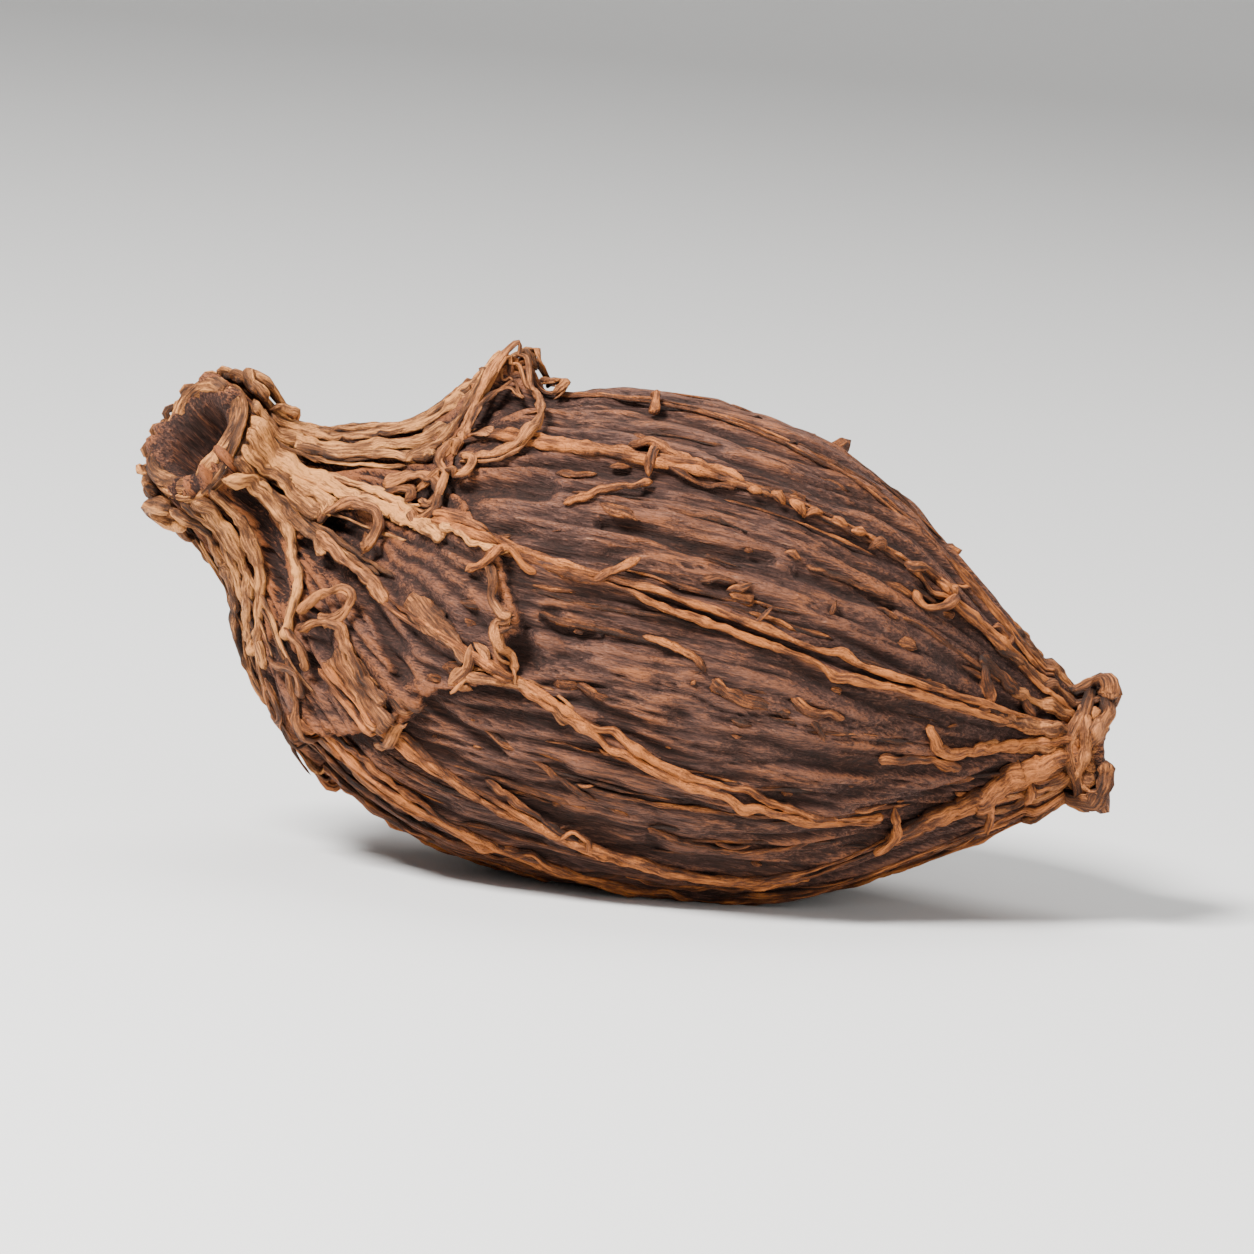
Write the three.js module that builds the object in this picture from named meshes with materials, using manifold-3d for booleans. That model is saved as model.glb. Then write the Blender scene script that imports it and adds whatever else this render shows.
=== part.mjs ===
// A dried black cardamom pod lying on its belly. Millimetres, +Z up, +X towards the pointed end.
// The origin is under the middle of its bounding box, on the surface that the pod lies on.
// One grown piece: a bent, ribbed body with the hollow tube of the dried flower at its fat end
// and a small flared collar where it came off the cluster at its pointed end.
import * as THREE from "three";
import { mergeVertices } from "three/addons/utils/BufferGeometryUtils.js";
import Module from "manifold-3d";

// Driving dimensions
const bodyRadius = 7.6; // skin at the fattest place, without the ribs
const mouthRadius = 1.1; // hole of the flower tube
const lipRadius = 2.05;
const neckRadius = 1.85;
const cupDepth = 2.3;
const collarRadius = 1.85;
const collarNeckRadius = 1.5;
const recessDepth = 0.9;
const ribHeight = 0.38;
const ribHalfWidth = 0.34;
const threadHeight = 0.22; // minor ribs, one between each two ribs
const threadHalfWidth = 0.22;
const valleyDepth = 0.16; // how far the dried skin sinks beside a minor rib
const layerThickness = 0.24; // torn outer layer that comes down from the flower tube
const dentDepth = 0.2;
const strandRadius = 0.34; // torn fibres on the shoulder
const loopRadius = 0.24; // strands round the open blister on the shoulder
const eyeletRadius = 0.42;
const wartRadius = 0.27;
const wartCount = 30;

// Centre line from the mouth of the flower tube to the collar: the tube stands up and towards the front.
const centreLinePoints = [
  [-13.55, -1.9, 12.8],
  [-12.0, -1.05, 11.42],
  [-9.89, -0.35, 10.08],
  [-7.29, 0, 8.74],
  [-3.53, 0, 7.88],
  [0.02, 0, 7.41],
  [3.68, 0, 6.88],
  [7.15, 0, 6.3],
  [10.83, 0, 5.7],
  [12.85, 0, 5.5],
  [14.96, 0, 5.5],
].map((p) => new THREE.Vector3(...p));
const centreLine = new THREE.CatmullRomCurve3(
  centreLinePoints,
  false,
  "catmullrom",
  0.5,
);
centreLine.arcLengthDivisions = 400;
const podLength = centreLine.getLength();

// Skin outline as [share of the length, share of the body radius, rows of faces up to the next point].
const bodyOutline = [
  [0.075, 0.255, 2],
  [0.115, 0.31, 2],
  [0.16, 0.44, 2],
  [0.205, 0.59, 2],
  [0.25, 0.72, 3],
  [0.31, 0.865, 4],
  [0.385, 0.955, 6],
  [0.495, 1.0, 7],
  [0.62, 0.955, 6],
  [0.735, 0.825, 6],
  [0.855, 0.53, 4],
  [0.925, 0.31, 2],
];

// Where each rib runs, in degrees from the top round to the front, at five shares of the length.
const ribShares = [0.17, 0.35, 0.5, 0.7, 0.93];
const ribs = [
  { degrees: [2, 7, 14, 20, 28] },
  { degrees: [33, 36, 38, 40, 42] },
  { degrees: [58, 66, 71, 75, 73] },
  { degrees: [86, 94, 104, 117, 96] },
  { degrees: [118, 126, 137, 143, 114] },
  { degrees: [146, 146, 152, 157, 142] },
  { degrees: [182, 180, 182, 184, 180] },
  { degrees: [214, 214, 216, 218, 216] },
  { degrees: [246, 249, 251, 250, 252] },
  { degrees: [281, 284, 286, 287, 290] },
  { degrees: [318, 321, 325, 327, 330] },
];

// Torn ends of the flower tube's fibres: degrees from the top, start, length and how far the end lifts.
const tornEnds = [
  { around: 50, from: 5, length: 2.4, lift: 0.65 },
  { around: 66, from: 4, length: 1.7, lift: 0.7 },
  { around: 80, from: 4.2, length: 1.5, lift: 0.75 },
  { around: 98, from: 4.8, length: 1.6, lift: 0.7 },
  { around: 113, from: 6.7, length: 2.5, lift: 0.5 },
  { around: 133, from: 5.2, length: 2.4, lift: 0.55 },
  { around: 158, from: 5.2, length: 1.9, lift: 0.5 },
  { around: 186, from: 4.2, length: 1.6, lift: 0.6 },
  { around: 214, from: 4.8, length: 2.4, lift: 0.65 },
  { around: 246, from: 4.4, length: 2.6, lift: 0.75 },
  { around: 278, from: 5.4, length: 2, lift: 0.85 },
  { around: 305, from: 4.6, length: 2.6, lift: 0.6 },
  { around: 338, from: 5.2, length: 2.2, lift: 0.7 },
  { around: 2, from: 9.3, length: 1.8, lift: 0.5 },
  { around: 97, from: 9.3, length: 1.5, lift: 0.5 },
];

// Where the torn outer layer ends: degrees from the top and distance from the mouth.
const layerEdge = [
  [0, 9.8],
  [22, 7.4],
  [45, 7.6],
  [66, 10.3],
  [84, 11.6],
  [95, 11.9],
  [104, 10.2],
  [120, 9.1],
  [150, 7.2],
  [178, 8],
  [205, 9.4],
  [230, 7.4],
  [258, 9.8],
  [282, 7.8],
  [308, 10.2],
  [334, 8],
  [360, 9.8],
];

// Eyelets on the ribs: number of the rib and share of the length.
const eyelets = [
  { rib: 1, share: 0.78 },
  { rib: 3, share: 0.505 },
  { rib: 3, share: 0.65 },
  { rib: 7, share: 0.56 },
  { rib: 9, share: 0.7 },
];

const turn = 2 * Math.PI;
const radians = THREE.MathUtils.degToRad;
const { clamp, lerp, smoothstep } = THREE.MathUtils;

// The same numbers on every run.
function makeDraw(seed) {
  let state = seed >>> 0;
  return () => {
    state = (Math.imul(state, 1664525) + 1013904223) >>> 0;
    return state / 2 ** 32;
  };
}

// Centre line: a place s millimetres along it, with the directions up and towards the front across it.
const towardsFront = new THREE.Vector3(0, -1, 0);
function frameAt(s) {
  const share = clamp(s / podLength, 0, 1);
  const along = centreLine.getTangentAt(share);
  const up = new THREE.Vector3().crossVectors(towardsFront, along).normalize();
  const front = new THREE.Vector3().crossVectors(along, up);
  return { centre: centreLine.getPointAt(share), along, up, front };
}
function pointAt(frame, angle, radius) {
  return frame.centre
    .clone()
    .addScaledVector(frame.up, radius * Math.cos(angle))
    .addScaledVector(frame.front, radius * Math.sin(angle));
}

// A smooth curve through the points (xs, ys), read at x.
function hermite(xs, ys, x) {
  const last = xs.length - 1;
  if (x <= xs[0]) return ys[0];
  if (x >= xs[last]) return ys[last];
  const i = xs.findIndex((edge) => edge > x) - 1;
  const slope = (k) => {
    const a = Math.max(k - 1, 0);
    const b = Math.min(k + 1, last);
    return (ys[b] - ys[a]) / (xs[b] - xs[a]);
  };
  const width = xs[i + 1] - xs[i];
  const t = (x - xs[i]) / width;
  const start = (2 * t ** 3 - 3 * t ** 2 + 1) * ys[i];
  const startSlope = (t ** 3 - 2 * t ** 2 + t) * width * slope(i);
  const end = (3 * t ** 2 - 2 * t ** 3) * ys[i + 1];
  const endSlope = (t ** 3 - t ** 2) * width * slope(i + 1);
  return start + startSlope + end + endSlope;
}
const outlineS = bodyOutline.map(([share]) => share * podLength);
const outlineR = bodyOutline.map(([, share]) => share * bodyRadius);
const skinRadius = (s) => hermite(outlineS, outlineR, s);

// From 0 on the flower tube to 1 on the body, and from 1 on the body to 0 at the pointed end.
const pastShoulder = (s) => smoothstep(s, 0.1 * podLength, 0.3 * podLength);
const beforeTip = (s) => 1 - smoothstep(s, 0.8 * podLength, 0.95 * podLength);

// Ribs wander a little, swell into beads and fade to threads near the tip. Minor ribs come and go.
const drawRib = makeDraw(4171);
for (const rib of ribs) {
  rib.wander = radians(0.4 + 0.8 * drawRib());
  rib.pace = (turn / podLength) * (1.5 + drawRib());
  rib.phase = turn * drawRib();
  rib.beadPace = turn / (1.3 + 0.9 * drawRib());
  rib.beadPhase = turn * drawRib();
  rib.strength = 0.8 + 0.35 * drawRib();
}
const ribPlaces = ribShares.map((share) => share * podLength);
function ribAngle(rib, s) {
  const wobble = rib.wander * Math.sin(rib.pace * s + rib.phase);
  return radians(hermite(ribPlaces, rib.degrees, s)) + pastShoulder(s) * wobble;
}
const tubeSwell = (s) => 1.4 - 0.4 * pastShoulder(s);
function ribRise(rib, s) {
  const fade = 1 - 0.5 * smoothstep(s, 0.75 * podLength, 0.95 * podLength);
  const bead = Math.sin(rib.beadPace * s + rib.beadPhase);
  const broken = Math.sin(0.37 * rib.beadPace * s + 2 * rib.beadPhase);
  const beads = 0.78 + 0.24 * bead + 0.14 * broken;
  return ribHeight * rib.strength * fade * tubeSwell(s) * beads;
}
function threadRise(rib, s) {
  const dashes = smoothstep(Math.sin(0.8 * s + 3 * rib.beadPhase), -0.4, 0.4);
  return threadHeight * tubeSwell(s) * lerp(1, dashes, pastShoulder(s));
}

// Slow dents of the dried body.
const drawDent = makeDraw(902);
const dents = Array.from({ length: 5 }, () => ({
  around: 1 + Math.floor(4 * drawDent()),
  along: 0.9 * (drawDent() - 0.5),
  phase: turn * drawDent(),
}));
function dentAt(s, angle) {
  const waves = dents.map((d) => Math.sin(d.around * angle + d.along * s + d.phase));
  const sum = waves.reduce((total, wave) => total + wave, 0);
  return (dentDepth * pastShoulder(s) * beforeTip(s) * sum) / 2;
}

// The torn outer layer ends in a ragged edge part of the way over the shoulder.
const layerDegrees = layerEdge.map(([degrees]) => degrees);
const layerEnds = layerEdge.map(([, end]) => end);
function layerAt(s, angle) {
  const degrees = THREE.MathUtils.euclideanModulo(angle / radians(1), 360);
  const edge = hermite(layerDegrees, layerEnds, degrees);
  return layerThickness * (1 - smoothstep(s, edge, edge + 0.7));
}

// The columns of faces follow the ribs: three over each rib, and three over the minor rib after it.
const ridgeColumns = [
  [-1, 0],
  [0, 1],
  [1, 0],
];
function columnsAt(s, radius) {
  const angles = ribs.map((rib) => ribAngle(rib, s));
  return ribs.flatMap((rib, k) => {
    const next = k + 1 < ribs.length ? angles[k + 1] : angles[0] + turn;
    const gap = next - angles[k];
    const half = Math.min(ribHalfWidth / radius, 0.28 * gap);
    const threadHalf = Math.min(threadHalfWidth / radius, 0.16 * gap);
    const overRib = ridgeColumns.map(([side, share]) => ({
      angle: angles[k] + side * half,
      rise: share * ribRise(rib, s),
      rib,
    }));
    const overThread = ridgeColumns.map(([side, share]) => ({
      angle: angles[k] + gap / 2 + side * threadHalf,
      rise: share * threadRise(rib, s) - valleyDepth,
      rib,
    }));
    return [...overRib, ...overThread];
  });
}

// A closed solid over rings of points, with each end drawn to a pole.
function solidFromRings(firstPole, rings, lastPole) {
  const around = rings[0].length;
  const points = [firstPole, ...rings.flat(), lastPole];
  const at = (ring, column) => 1 + ring * around + (column % around);
  const last = points.length - 1;
  const faces = [];
  for (let j = 0; j < around; j++) {
    faces.push(0, at(0, j + 1), at(0, j));
    faces.push(at(rings.length - 1, j), at(rings.length - 1, j + 1), last);
    for (let i = 0; i + 1 < rings.length; i++) {
      faces.push(at(i, j), at(i, j + 1), at(i + 1, j + 1));
      faces.push(at(i, j), at(i + 1, j + 1), at(i + 1, j));
    }
  }
  const geometry = new THREE.BufferGeometry().setFromPoints(points);
  geometry.setIndex(faces);
  return geometry;
}

// Body: one row of points for each place on the outline, from the bottom of the flower tube, out over
// its lip, along the skin, over the collar and into its recess.
function makeBody() {
  const rings = [];
  const addRing = (s, radius, ribShare, lipShare = 0) => {
    const onSkin = radius > neckRadius;
    rings.push(
      columnsAt(s, radius).map(({ angle, rise, rib }) => {
        const ragged = lipShare * Math.sin(rib.beadPhase + 9 * rise);
        const frame = frameAt(Math.max(0, s + 0.4 * ragged));
        const uneven = onSkin ? dentAt(s, angle) + layerAt(s, angle) : 0;
        return pointAt(frame, angle, radius + rise * ribShare + uneven + 0.24 * ragged);
      }),
    );
  };
  const mouth = [
    [0.96 * cupDepth, 0.5 * mouthRadius, 0, 0],
    [0.7 * cupDepth, 0.85 * mouthRadius, 0, 0],
    [0.15 * cupDepth, mouthRadius, 0, 0],
    [0.02 * cupDepth, 1.18 * mouthRadius, 0, 0.7],
    [0.02 * cupDepth, 0.88 * lipRadius, 0, 1],
    [0.2 * cupDepth, 0.97 * lipRadius, 0.3, 0.6],
    [0.42 * cupDepth, 0.9 * lipRadius, 0.5, 0.2],
    [0.62 * cupDepth, neckRadius, 0.7, 0],
  ];
  for (const row of mouth) addRing(...row);
  bodyOutline.forEach(([, , rows], i) => {
    const end = i + 1 < outlineS.length ? outlineS[i + 1] : 0.955 * podLength;
    for (let row = 0; row < rows; row++) {
      const s = lerp(outlineS[i], end, row / rows);
      addRing(s, skinRadius(s), 1);
    }
  });
  const collar = [
    [podLength - 1.25, collarNeckRadius, 0.6, 0],
    [podLength - 0.6, 0.95 * collarRadius, 0.5, 0.2],
    [podLength - 0.25, collarRadius, 0.4, 0.5],
    [podLength, 0.8 * collarRadius, 0.1, 0.4],
    [podLength - 0.35 * recessDepth, 0.5 * collarRadius, 0, 0],
    [podLength - 0.9 * recessDepth, 0.35 * collarRadius, 0, 0],
  ];
  for (const row of collar) addRing(...row);
  return solidFromRings(
    frameAt(cupDepth).centre,
    rings,
    frameAt(podLength - recessDepth).centre,
  );
}

// A thin rod through points on the skin, each given as [s, angle, height over the skin, radius].
function makeRod(stations, sides) {
  const points = stations.map(([s, angle, height]) =>
    pointAt(frameAt(s), angle, skinRadius(s) + height),
  );
  const rings = [];
  for (let k = 1; k + 1 < points.length; k++) {
    const [s, angle, , radius] = stations[k];
    const place = frameAt(s);
    const outwards = pointAt(place, angle, 1).sub(place.centre);
    const along = points[k + 1].clone().sub(points[k - 1]).normalize();
    const front = new THREE.Vector3().crossVectors(along, outwards).normalize();
    const up = new THREE.Vector3().crossVectors(front, along);
    const frame = { centre: points[k], up, front };
    const ring = [];
    for (let j = 0; j < sides; j++) {
      ring.push(pointAt(frame, (turn * j) / sides, radius));
    }
    rings.push(ring);
  }
  return solidFromRings(points[0], rings, points[points.length - 1]);
}

// A torn end starts inside the skin, runs away from the mouth, lifts and ends in a small knob.
function makeTornEnd({ around, from, length, lift }) {
  const angle = radians(around);
  const bend = radians(4) * Math.sin(around);
  return makeRod(
    [
      [from, angle, -0.35, 0],
      [from + 0.15 * length, angle, -0.1, 0.9 * strandRadius],
      [from + 0.5 * length, angle + bend, 0.3 * lift, strandRadius],
      [from + 0.8 * length, angle + 2 * bend, 0.8 * lift, 0.8 * strandRadius],
      [from + 0.95 * length, angle + 2 * bend, lift, strandRadius],
      [from + 1.1 * length, angle + 2 * bend, 1.05 * lift, 0],
    ],
    5,
  );
}

// One side of the open blister: a strand that leaves the skin, bows sideways and comes back.
function makeLoopSide(side) {
  const [first, last] = [7.6, 10.8];
  const angle = radians(25);
  const steps = 8;
  const stations = [];
  for (let k = 0; k <= steps; k++) {
    const share = k / steps;
    const bow = Math.sin(Math.PI * share);
    const bowAngle = angle + side * radians(14) * bow;
    const radius = k % steps === 0 ? 0 : loopRadius;
    stations.push([lerp(first, last, share), bowAngle, 0.65 * bow - 0.2, radius]);
  }
  return makeRod(stations, 5);
}

function makeEyelet({ rib, share }) {
  const s = share * podLength;
  const frame = frameAt(s);
  const angle = ribAngle(ribs[rib], s);
  const outwards = pointAt(frame, angle, 1).sub(frame.centre);
  const across = new THREE.Vector3().crossVectors(outwards, frame.along).normalize();
  const along = new THREE.Vector3().crossVectors(across, outwards);
  const place = new THREE.Matrix4().makeBasis(along, across, outwards);
  place.setPosition(pointAt(frame, angle, skinRadius(s) + dentAt(s, angle) + 0.3));
  return new THREE.TorusGeometry(eyeletRadius, 0.17, 4, 8).applyMatrix4(place);
}

function makeWarts() {
  const drawWart = makeDraw(77);
  return Array.from({ length: wartCount }, () => {
    const s = lerp(0.3, 0.86, drawWart()) * podLength;
    const angle = turn * drawWart();
    const size = wartRadius * (0.75 + 0.5 * drawWart());
    const height = skinRadius(s) + dentAt(s, angle);
    const centre = pointAt(frameAt(s), angle, height);
    return new THREE.IcosahedronGeometry(size, 0).translate(...centre);
  });
}

// Joining and cutting
const wasm = await Module();
wasm.setup();
function solidOf(geometry) {
  geometry.deleteAttribute("normal");
  geometry.deleteAttribute("uv");
  const merged = mergeVertices(geometry);
  const vertProperties = merged.attributes.position.array;
  const triVerts = Uint32Array.from(merged.index.array);
  return new wasm.Manifold(new wasm.Mesh({ numProp: 3, vertProperties, triVerts }));
}
function geometryOf(solid) {
  const { vertProperties, triVerts } = solid.getMesh();
  const geometry = new THREE.BufferGeometry();
  geometry.setAttribute("position", new THREE.BufferAttribute(vertProperties, 3));
  geometry.setIndex(new THREE.BufferAttribute(triVerts, 1));
  return geometry;
}

// Everything below the surface that the pod lies on is pressed flat: a small spot under the belly.
const tableSize = 60;
const table = new THREE.BoxGeometry(tableSize, tableSize, tableSize);
table.translate(0, 0, -tableSize / 2);

const grown = [
  ...tornEnds.map(makeTornEnd),
  makeLoopSide(-1),
  makeLoopSide(1),
  ...eyelets.map(makeEyelet),
  ...makeWarts(),
];
const whole = grown.reduce(
  (solid, geometry) => solid.add(solidOf(geometry)),
  solidOf(makeBody()),
);
const podShape = geometryOf(whole.subtract(solidOf(table)));

const group = new THREE.Group();
const podMaterial = new THREE.MeshStandardMaterial({
  color: new THREE.Color(0.2, 0.11, 0.075),
  roughness: 0.72,
  metalness: 0,
});
const pod = new THREE.Mesh(podShape, podMaterial);
pod.name = "pod";
group.add(pod);

export default group;
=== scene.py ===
import math
import bmesh
import bpy
import numpy as np
from mathutils import Matrix, Vector


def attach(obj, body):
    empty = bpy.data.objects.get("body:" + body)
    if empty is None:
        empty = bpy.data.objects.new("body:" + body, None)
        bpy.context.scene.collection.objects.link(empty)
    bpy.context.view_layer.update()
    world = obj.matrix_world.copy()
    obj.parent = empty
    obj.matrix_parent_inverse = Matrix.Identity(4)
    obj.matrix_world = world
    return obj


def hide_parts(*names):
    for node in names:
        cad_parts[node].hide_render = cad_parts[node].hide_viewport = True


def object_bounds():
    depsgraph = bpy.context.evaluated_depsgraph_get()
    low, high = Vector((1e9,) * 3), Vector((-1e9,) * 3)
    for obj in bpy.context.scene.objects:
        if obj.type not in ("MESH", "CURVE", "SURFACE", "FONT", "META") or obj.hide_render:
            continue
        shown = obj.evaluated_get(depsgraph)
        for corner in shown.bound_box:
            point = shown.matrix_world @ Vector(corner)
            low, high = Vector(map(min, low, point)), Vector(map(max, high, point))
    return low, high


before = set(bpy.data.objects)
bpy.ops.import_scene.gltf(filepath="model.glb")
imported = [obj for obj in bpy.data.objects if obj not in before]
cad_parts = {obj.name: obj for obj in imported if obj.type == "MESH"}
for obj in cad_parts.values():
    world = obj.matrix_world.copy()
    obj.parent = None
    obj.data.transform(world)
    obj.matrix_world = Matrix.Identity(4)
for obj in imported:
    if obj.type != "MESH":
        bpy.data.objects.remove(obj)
cadLow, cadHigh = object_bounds()
print("frame loaded")

# Lengths are in millimetres until a piece is finished. s runs along the pod from the mouth of
# the flower tube, and an angle runs round it from the top towards the front.
metre = 0.001
turn = 2 * math.pi

podForm = {
    "centreLine": [
        (-13.55, -1.9, 12.8), (-12.0, -1.05, 11.42), (-9.89, -0.35, 10.08), (-7.29, 0, 8.74),
        (-3.53, 0, 7.88), (0.02, 0, 7.41), (3.68, 0, 6.88), (7.15, 0, 6.3), (10.83, 0, 5.7),
        (12.85, 0, 5.5), (14.96, 0, 5.5),
    ],
    "bodyRadius": 7.6,
    # share of the length, share of the body radius
    "outline": [
        (0.075, 0.255), (0.115, 0.31), (0.16, 0.44), (0.205, 0.59), (0.25, 0.72), (0.31, 0.865),
        (0.385, 0.955), (0.495, 1.0), (0.62, 0.955), (0.735, 0.825), (0.855, 0.53), (0.925, 0.31),
    ],
    # degrees of each rib at five shares of the length
    "ribShares": (0.17, 0.35, 0.5, 0.7, 0.93),
    "ribs": [
        (2, 7, 14, 20, 28), (33, 36, 38, 40, 42), (58, 66, 71, 75, 73), (86, 94, 104, 117, 96),
        (118, 126, 137, 143, 114), (146, 146, 152, 157, 142), (182, 180, 182, 184, 180),
        (214, 214, 216, 218, 216), (246, 249, 251, 250, 252), (281, 284, 286, 287, 290),
        (318, 321, 325, 327, 330),
    ],
    "ribHeight": 0.38,
    "dentDepth": 0.2,
    # degrees and distance from the mouth of the torn outer layer's edge
    "layerEdge": [
        (0, 9.8), (22, 7.4), (45, 7.6), (66, 10.3), (84, 11.6), (95, 11.9), (104, 10.2), (120, 9.1),
        (150, 7.2), (178, 8), (205, 9.4), (230, 7.4), (258, 9.8), (282, 7.8), (308, 10.2), (334, 8),
        (360, 9.8),
    ],
    "layerThickness": 0.24,
    # the torn strap rises and sinks along the pod, and thins out in degrees from its middle
    "strap": {"height": 0.8, "degrees": -8, "rise": (5.4, 6.9), "sink": (9.9, 10.9), "half": (12, 24)},
    # where the rib along the middle of the front opens into two rails
    "rails": {"rib": 2, "rise": (14.8, 15.6), "sink": (22.6, 23.6)},
    # distance from the mouth and radius of the tube
    "tube": [(0, 1.82), (0.9, 1.86), (1.5, 1.8), (2.3, 1.94)],
    "mouthRadius": 1.1,
    "mouthSlant": 0.42,
    "lipRadius": 2.05,
    "neckRadius": 1.85,
    "cupDepth": 2.3,
    # distance from the tip and radius of the collar
    "collar": [(2, 2.36), (1.15, 1.55), (0.6, 1.7), (0.3, 1.85), (0, 1.7)],
    "collarRadius": 1.85,
    "collarNeckRadius": 1.5,
    "recessDepth": 0.9,
}


def makeDraw(seed):
    state = seed

    def draw():
        nonlocal state
        state = (state * 1664525 + 1013904223) % 2**32
        return state / 2**32

    return draw


def smoothStep(x, low, high):
    t = np.clip((x - low) / (high - low), 0, 1)
    return t * t * (3 - 2 * t)


def between(x, rise, sink):
    # from 0 to 1 over the first stretch and back over the second
    return smoothStep(x, *rise) * (1 - smoothStep(x, *sink))


def bell(x, middle, width):
    return np.exp(-(((x - middle) / width) ** 2))


def unit(v):
    return v / np.maximum(np.linalg.norm(v, axis=-1, keepdims=True), 1e-12)


def runAlong(points):
    # distance of each point from the first one
    return np.concatenate([[0], np.cumsum(np.linalg.norm(np.diff(points, axis=0), axis=1))])


def hermite(xs, ys, x):
    # a smooth curve through the places
    xs, ys = np.array(xs, float), np.array(ys, float)
    last = len(xs) - 1
    here = np.arange(last + 1)
    before, after = np.maximum(here - 1, 0), np.minimum(here + 1, last)
    slopes = (ys[after] - ys[before]) / (xs[after] - xs[before])
    x = np.clip(x, xs[0], xs[-1])
    i = np.clip(np.searchsorted(xs, x, side="right") - 1, 0, last - 1)
    width = xs[i + 1] - xs[i]
    t = (x - xs[i]) / width
    start = (2 * t**3 - 3 * t**2 + 1) * ys[i] + (t**3 - 2 * t**2 + t) * width * slopes[i]
    return start + (3 * t**2 - 2 * t**3) * ys[i + 1] + (t**3 - t**2) * width * slopes[i + 1]


def softNoise(x, y, z, seed):
    # smooth noise from -1 to 1 on a lattice of whole numbers
    place = np.broadcast_arrays(*(np.asarray(a, float) for a in (x, y, z)))
    corner = [np.floor(a).astype(np.int64) for a in place]
    ease = [smoothStep(a - c, 0, 1) for a, c in zip(place, corner)]
    total = np.zeros(place[0].shape)
    mask = 0xFFFFFFFF
    primes = (374761393, 668265263, 987643217)
    for k in range(8):
        bits = (k & 1, (k >> 1) & 1, (k >> 2) & 1)
        mixed = sum((c + b) * prime for c, b, prime in zip(corner, bits, primes)) + seed * 974634777
        mixed = mixed & mask
        mixed = ((mixed ^ (mixed >> 13)) * 1274126177) & mask
        value = ((mixed ^ (mixed >> 16)) & 0xFFFF) / 32767.5 - 1
        weight = 1.0
        for b, e in zip(bits, ease):
            weight = weight * (e if b else 1 - e)
        total += value * weight
    return total


def ringNoise(s, angle, alongPace, aroundPace, seed):
    # noise that closes up round the pod
    return softNoise(alongPace * s, aroundPace * np.cos(angle), aroundPace * np.sin(angle), seed)


def traceCentreLine(points, samples=2400):
    points = np.array(points, float)
    padded = np.vstack([2 * points[0] - points[1], points, 2 * points[-1] - points[-2]])
    t = np.linspace(0, len(points) - 1, samples)
    i = np.minimum(t.astype(int), len(points) - 2)
    u = (t - i)[:, None]
    p0, p1, p2, p3 = (padded[i + k] for k in range(4))
    bend = 2 * p0 - 5 * p1 + 4 * p2 - p3
    twist = 3 * p1 - p0 - 3 * p2 + p3
    centre = 0.5 * (2 * p1 + (p2 - p0) * u + bend * u**2 + twist * u**3)
    along = unit((p2 - p0) + 2 * bend * u + 3 * twist * u**2)
    up = unit(np.cross((0, -1, 0), along))
    front = np.cross(along, up)
    return {"s": runAlong(centre), "centre": centre, "along": along, "up": up, "front": front}


line = traceCentreLine(podForm["centreLine"])
podLength = line["s"][-1]


def lineAt(name, s):
    return np.stack([np.interp(s, line["s"], line[name][:, k]) for k in range(3)], axis=-1)


def podPoint(s, angle, radius):
    s, angle, radius = np.broadcast_arrays(*(np.asarray(a, float) for a in (s, angle, radius)))
    # the mouth is cut aslant and opens towards the front
    slant = podForm["mouthSlant"] * np.sin(angle - 0.5) * np.clip(radius / podForm["mouthRadius"], 0, 1)
    s = s + slant * bell(np.clip(s, 0, None), 0, 1.4)
    outwards = np.cos(angle)[..., None] * lineAt("up", s) + np.sin(angle)[..., None] * lineAt("front", s)
    past = (s - np.clip(s, 0, podLength))[..., None] * lineAt("along", s)
    return lineAt("centre", s) + past + radius[..., None] * outwards


def skinRadius(s):
    shares, radii = np.array(podForm["outline"]).T
    body = hermite(shares * podLength, radii * podForm["bodyRadius"], s)
    tubePlaces, tubeRadii = np.array(podForm["tube"]).T
    toTip, collarRadii = np.array(podForm["collar"]).T
    tube = np.interp(s, tubePlaces, tubeRadii)
    collar = np.interp(s, podLength - toTip, collarRadii)
    return np.where(s < tubePlaces[-1], tube, np.where(s > podLength - toTip[0], collar, body))


def pastShoulder(s):
    return smoothStep(s, 0.1 * podLength, 0.3 * podLength)


def beforeTip(s):
    return 1 - smoothStep(s, 0.8 * podLength, 0.95 * podLength)


def drawRibs():
    draw = makeDraw(4171)
    ribs = []
    for degrees in podForm["ribs"]:
        rib = {"degrees": degrees, "wander": math.radians(0.4 + 0.8 * draw())}
        rib["pace"] = turn / podLength * (1.5 + draw())
        rib["phase"] = turn * draw()
        for _ in range(3):
            draw()      # the solid draws its beads here, so its ribs and these stay in step
        ribs.append(rib)
    return ribs


ribs = drawRibs()


def ribAngle(rib, s):
    places = np.array(podForm["ribShares"]) * podLength
    wobble = rib["wander"] * np.sin(rib["pace"] * s + rib["phase"])
    return np.radians(hermite(places, rib["degrees"], s)) + pastShoulder(s) * wobble


def dentAt(s, angle):
    draw = makeDraw(902)
    total = 0
    for _ in range(5):
        around, along, phase = 1 + math.floor(4 * draw()), 0.9 * (draw() - 0.5), turn * draw()
        total = total + np.sin(around * angle + along * s + phase)
    return podForm["dentDepth"] * pastShoulder(s) * beforeTip(s) * total / 2


def layerEdgeAt(angle):
    degrees, ends = zip(*podForm["layerEdge"])
    ragged = 0.35 * ringNoise(0, angle, 0, 9, 5) + 0.2 * ringNoise(0, angle, 0, 20, 6)
    return hermite(degrees, ends, np.degrees(angle) % 360) + ragged


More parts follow.
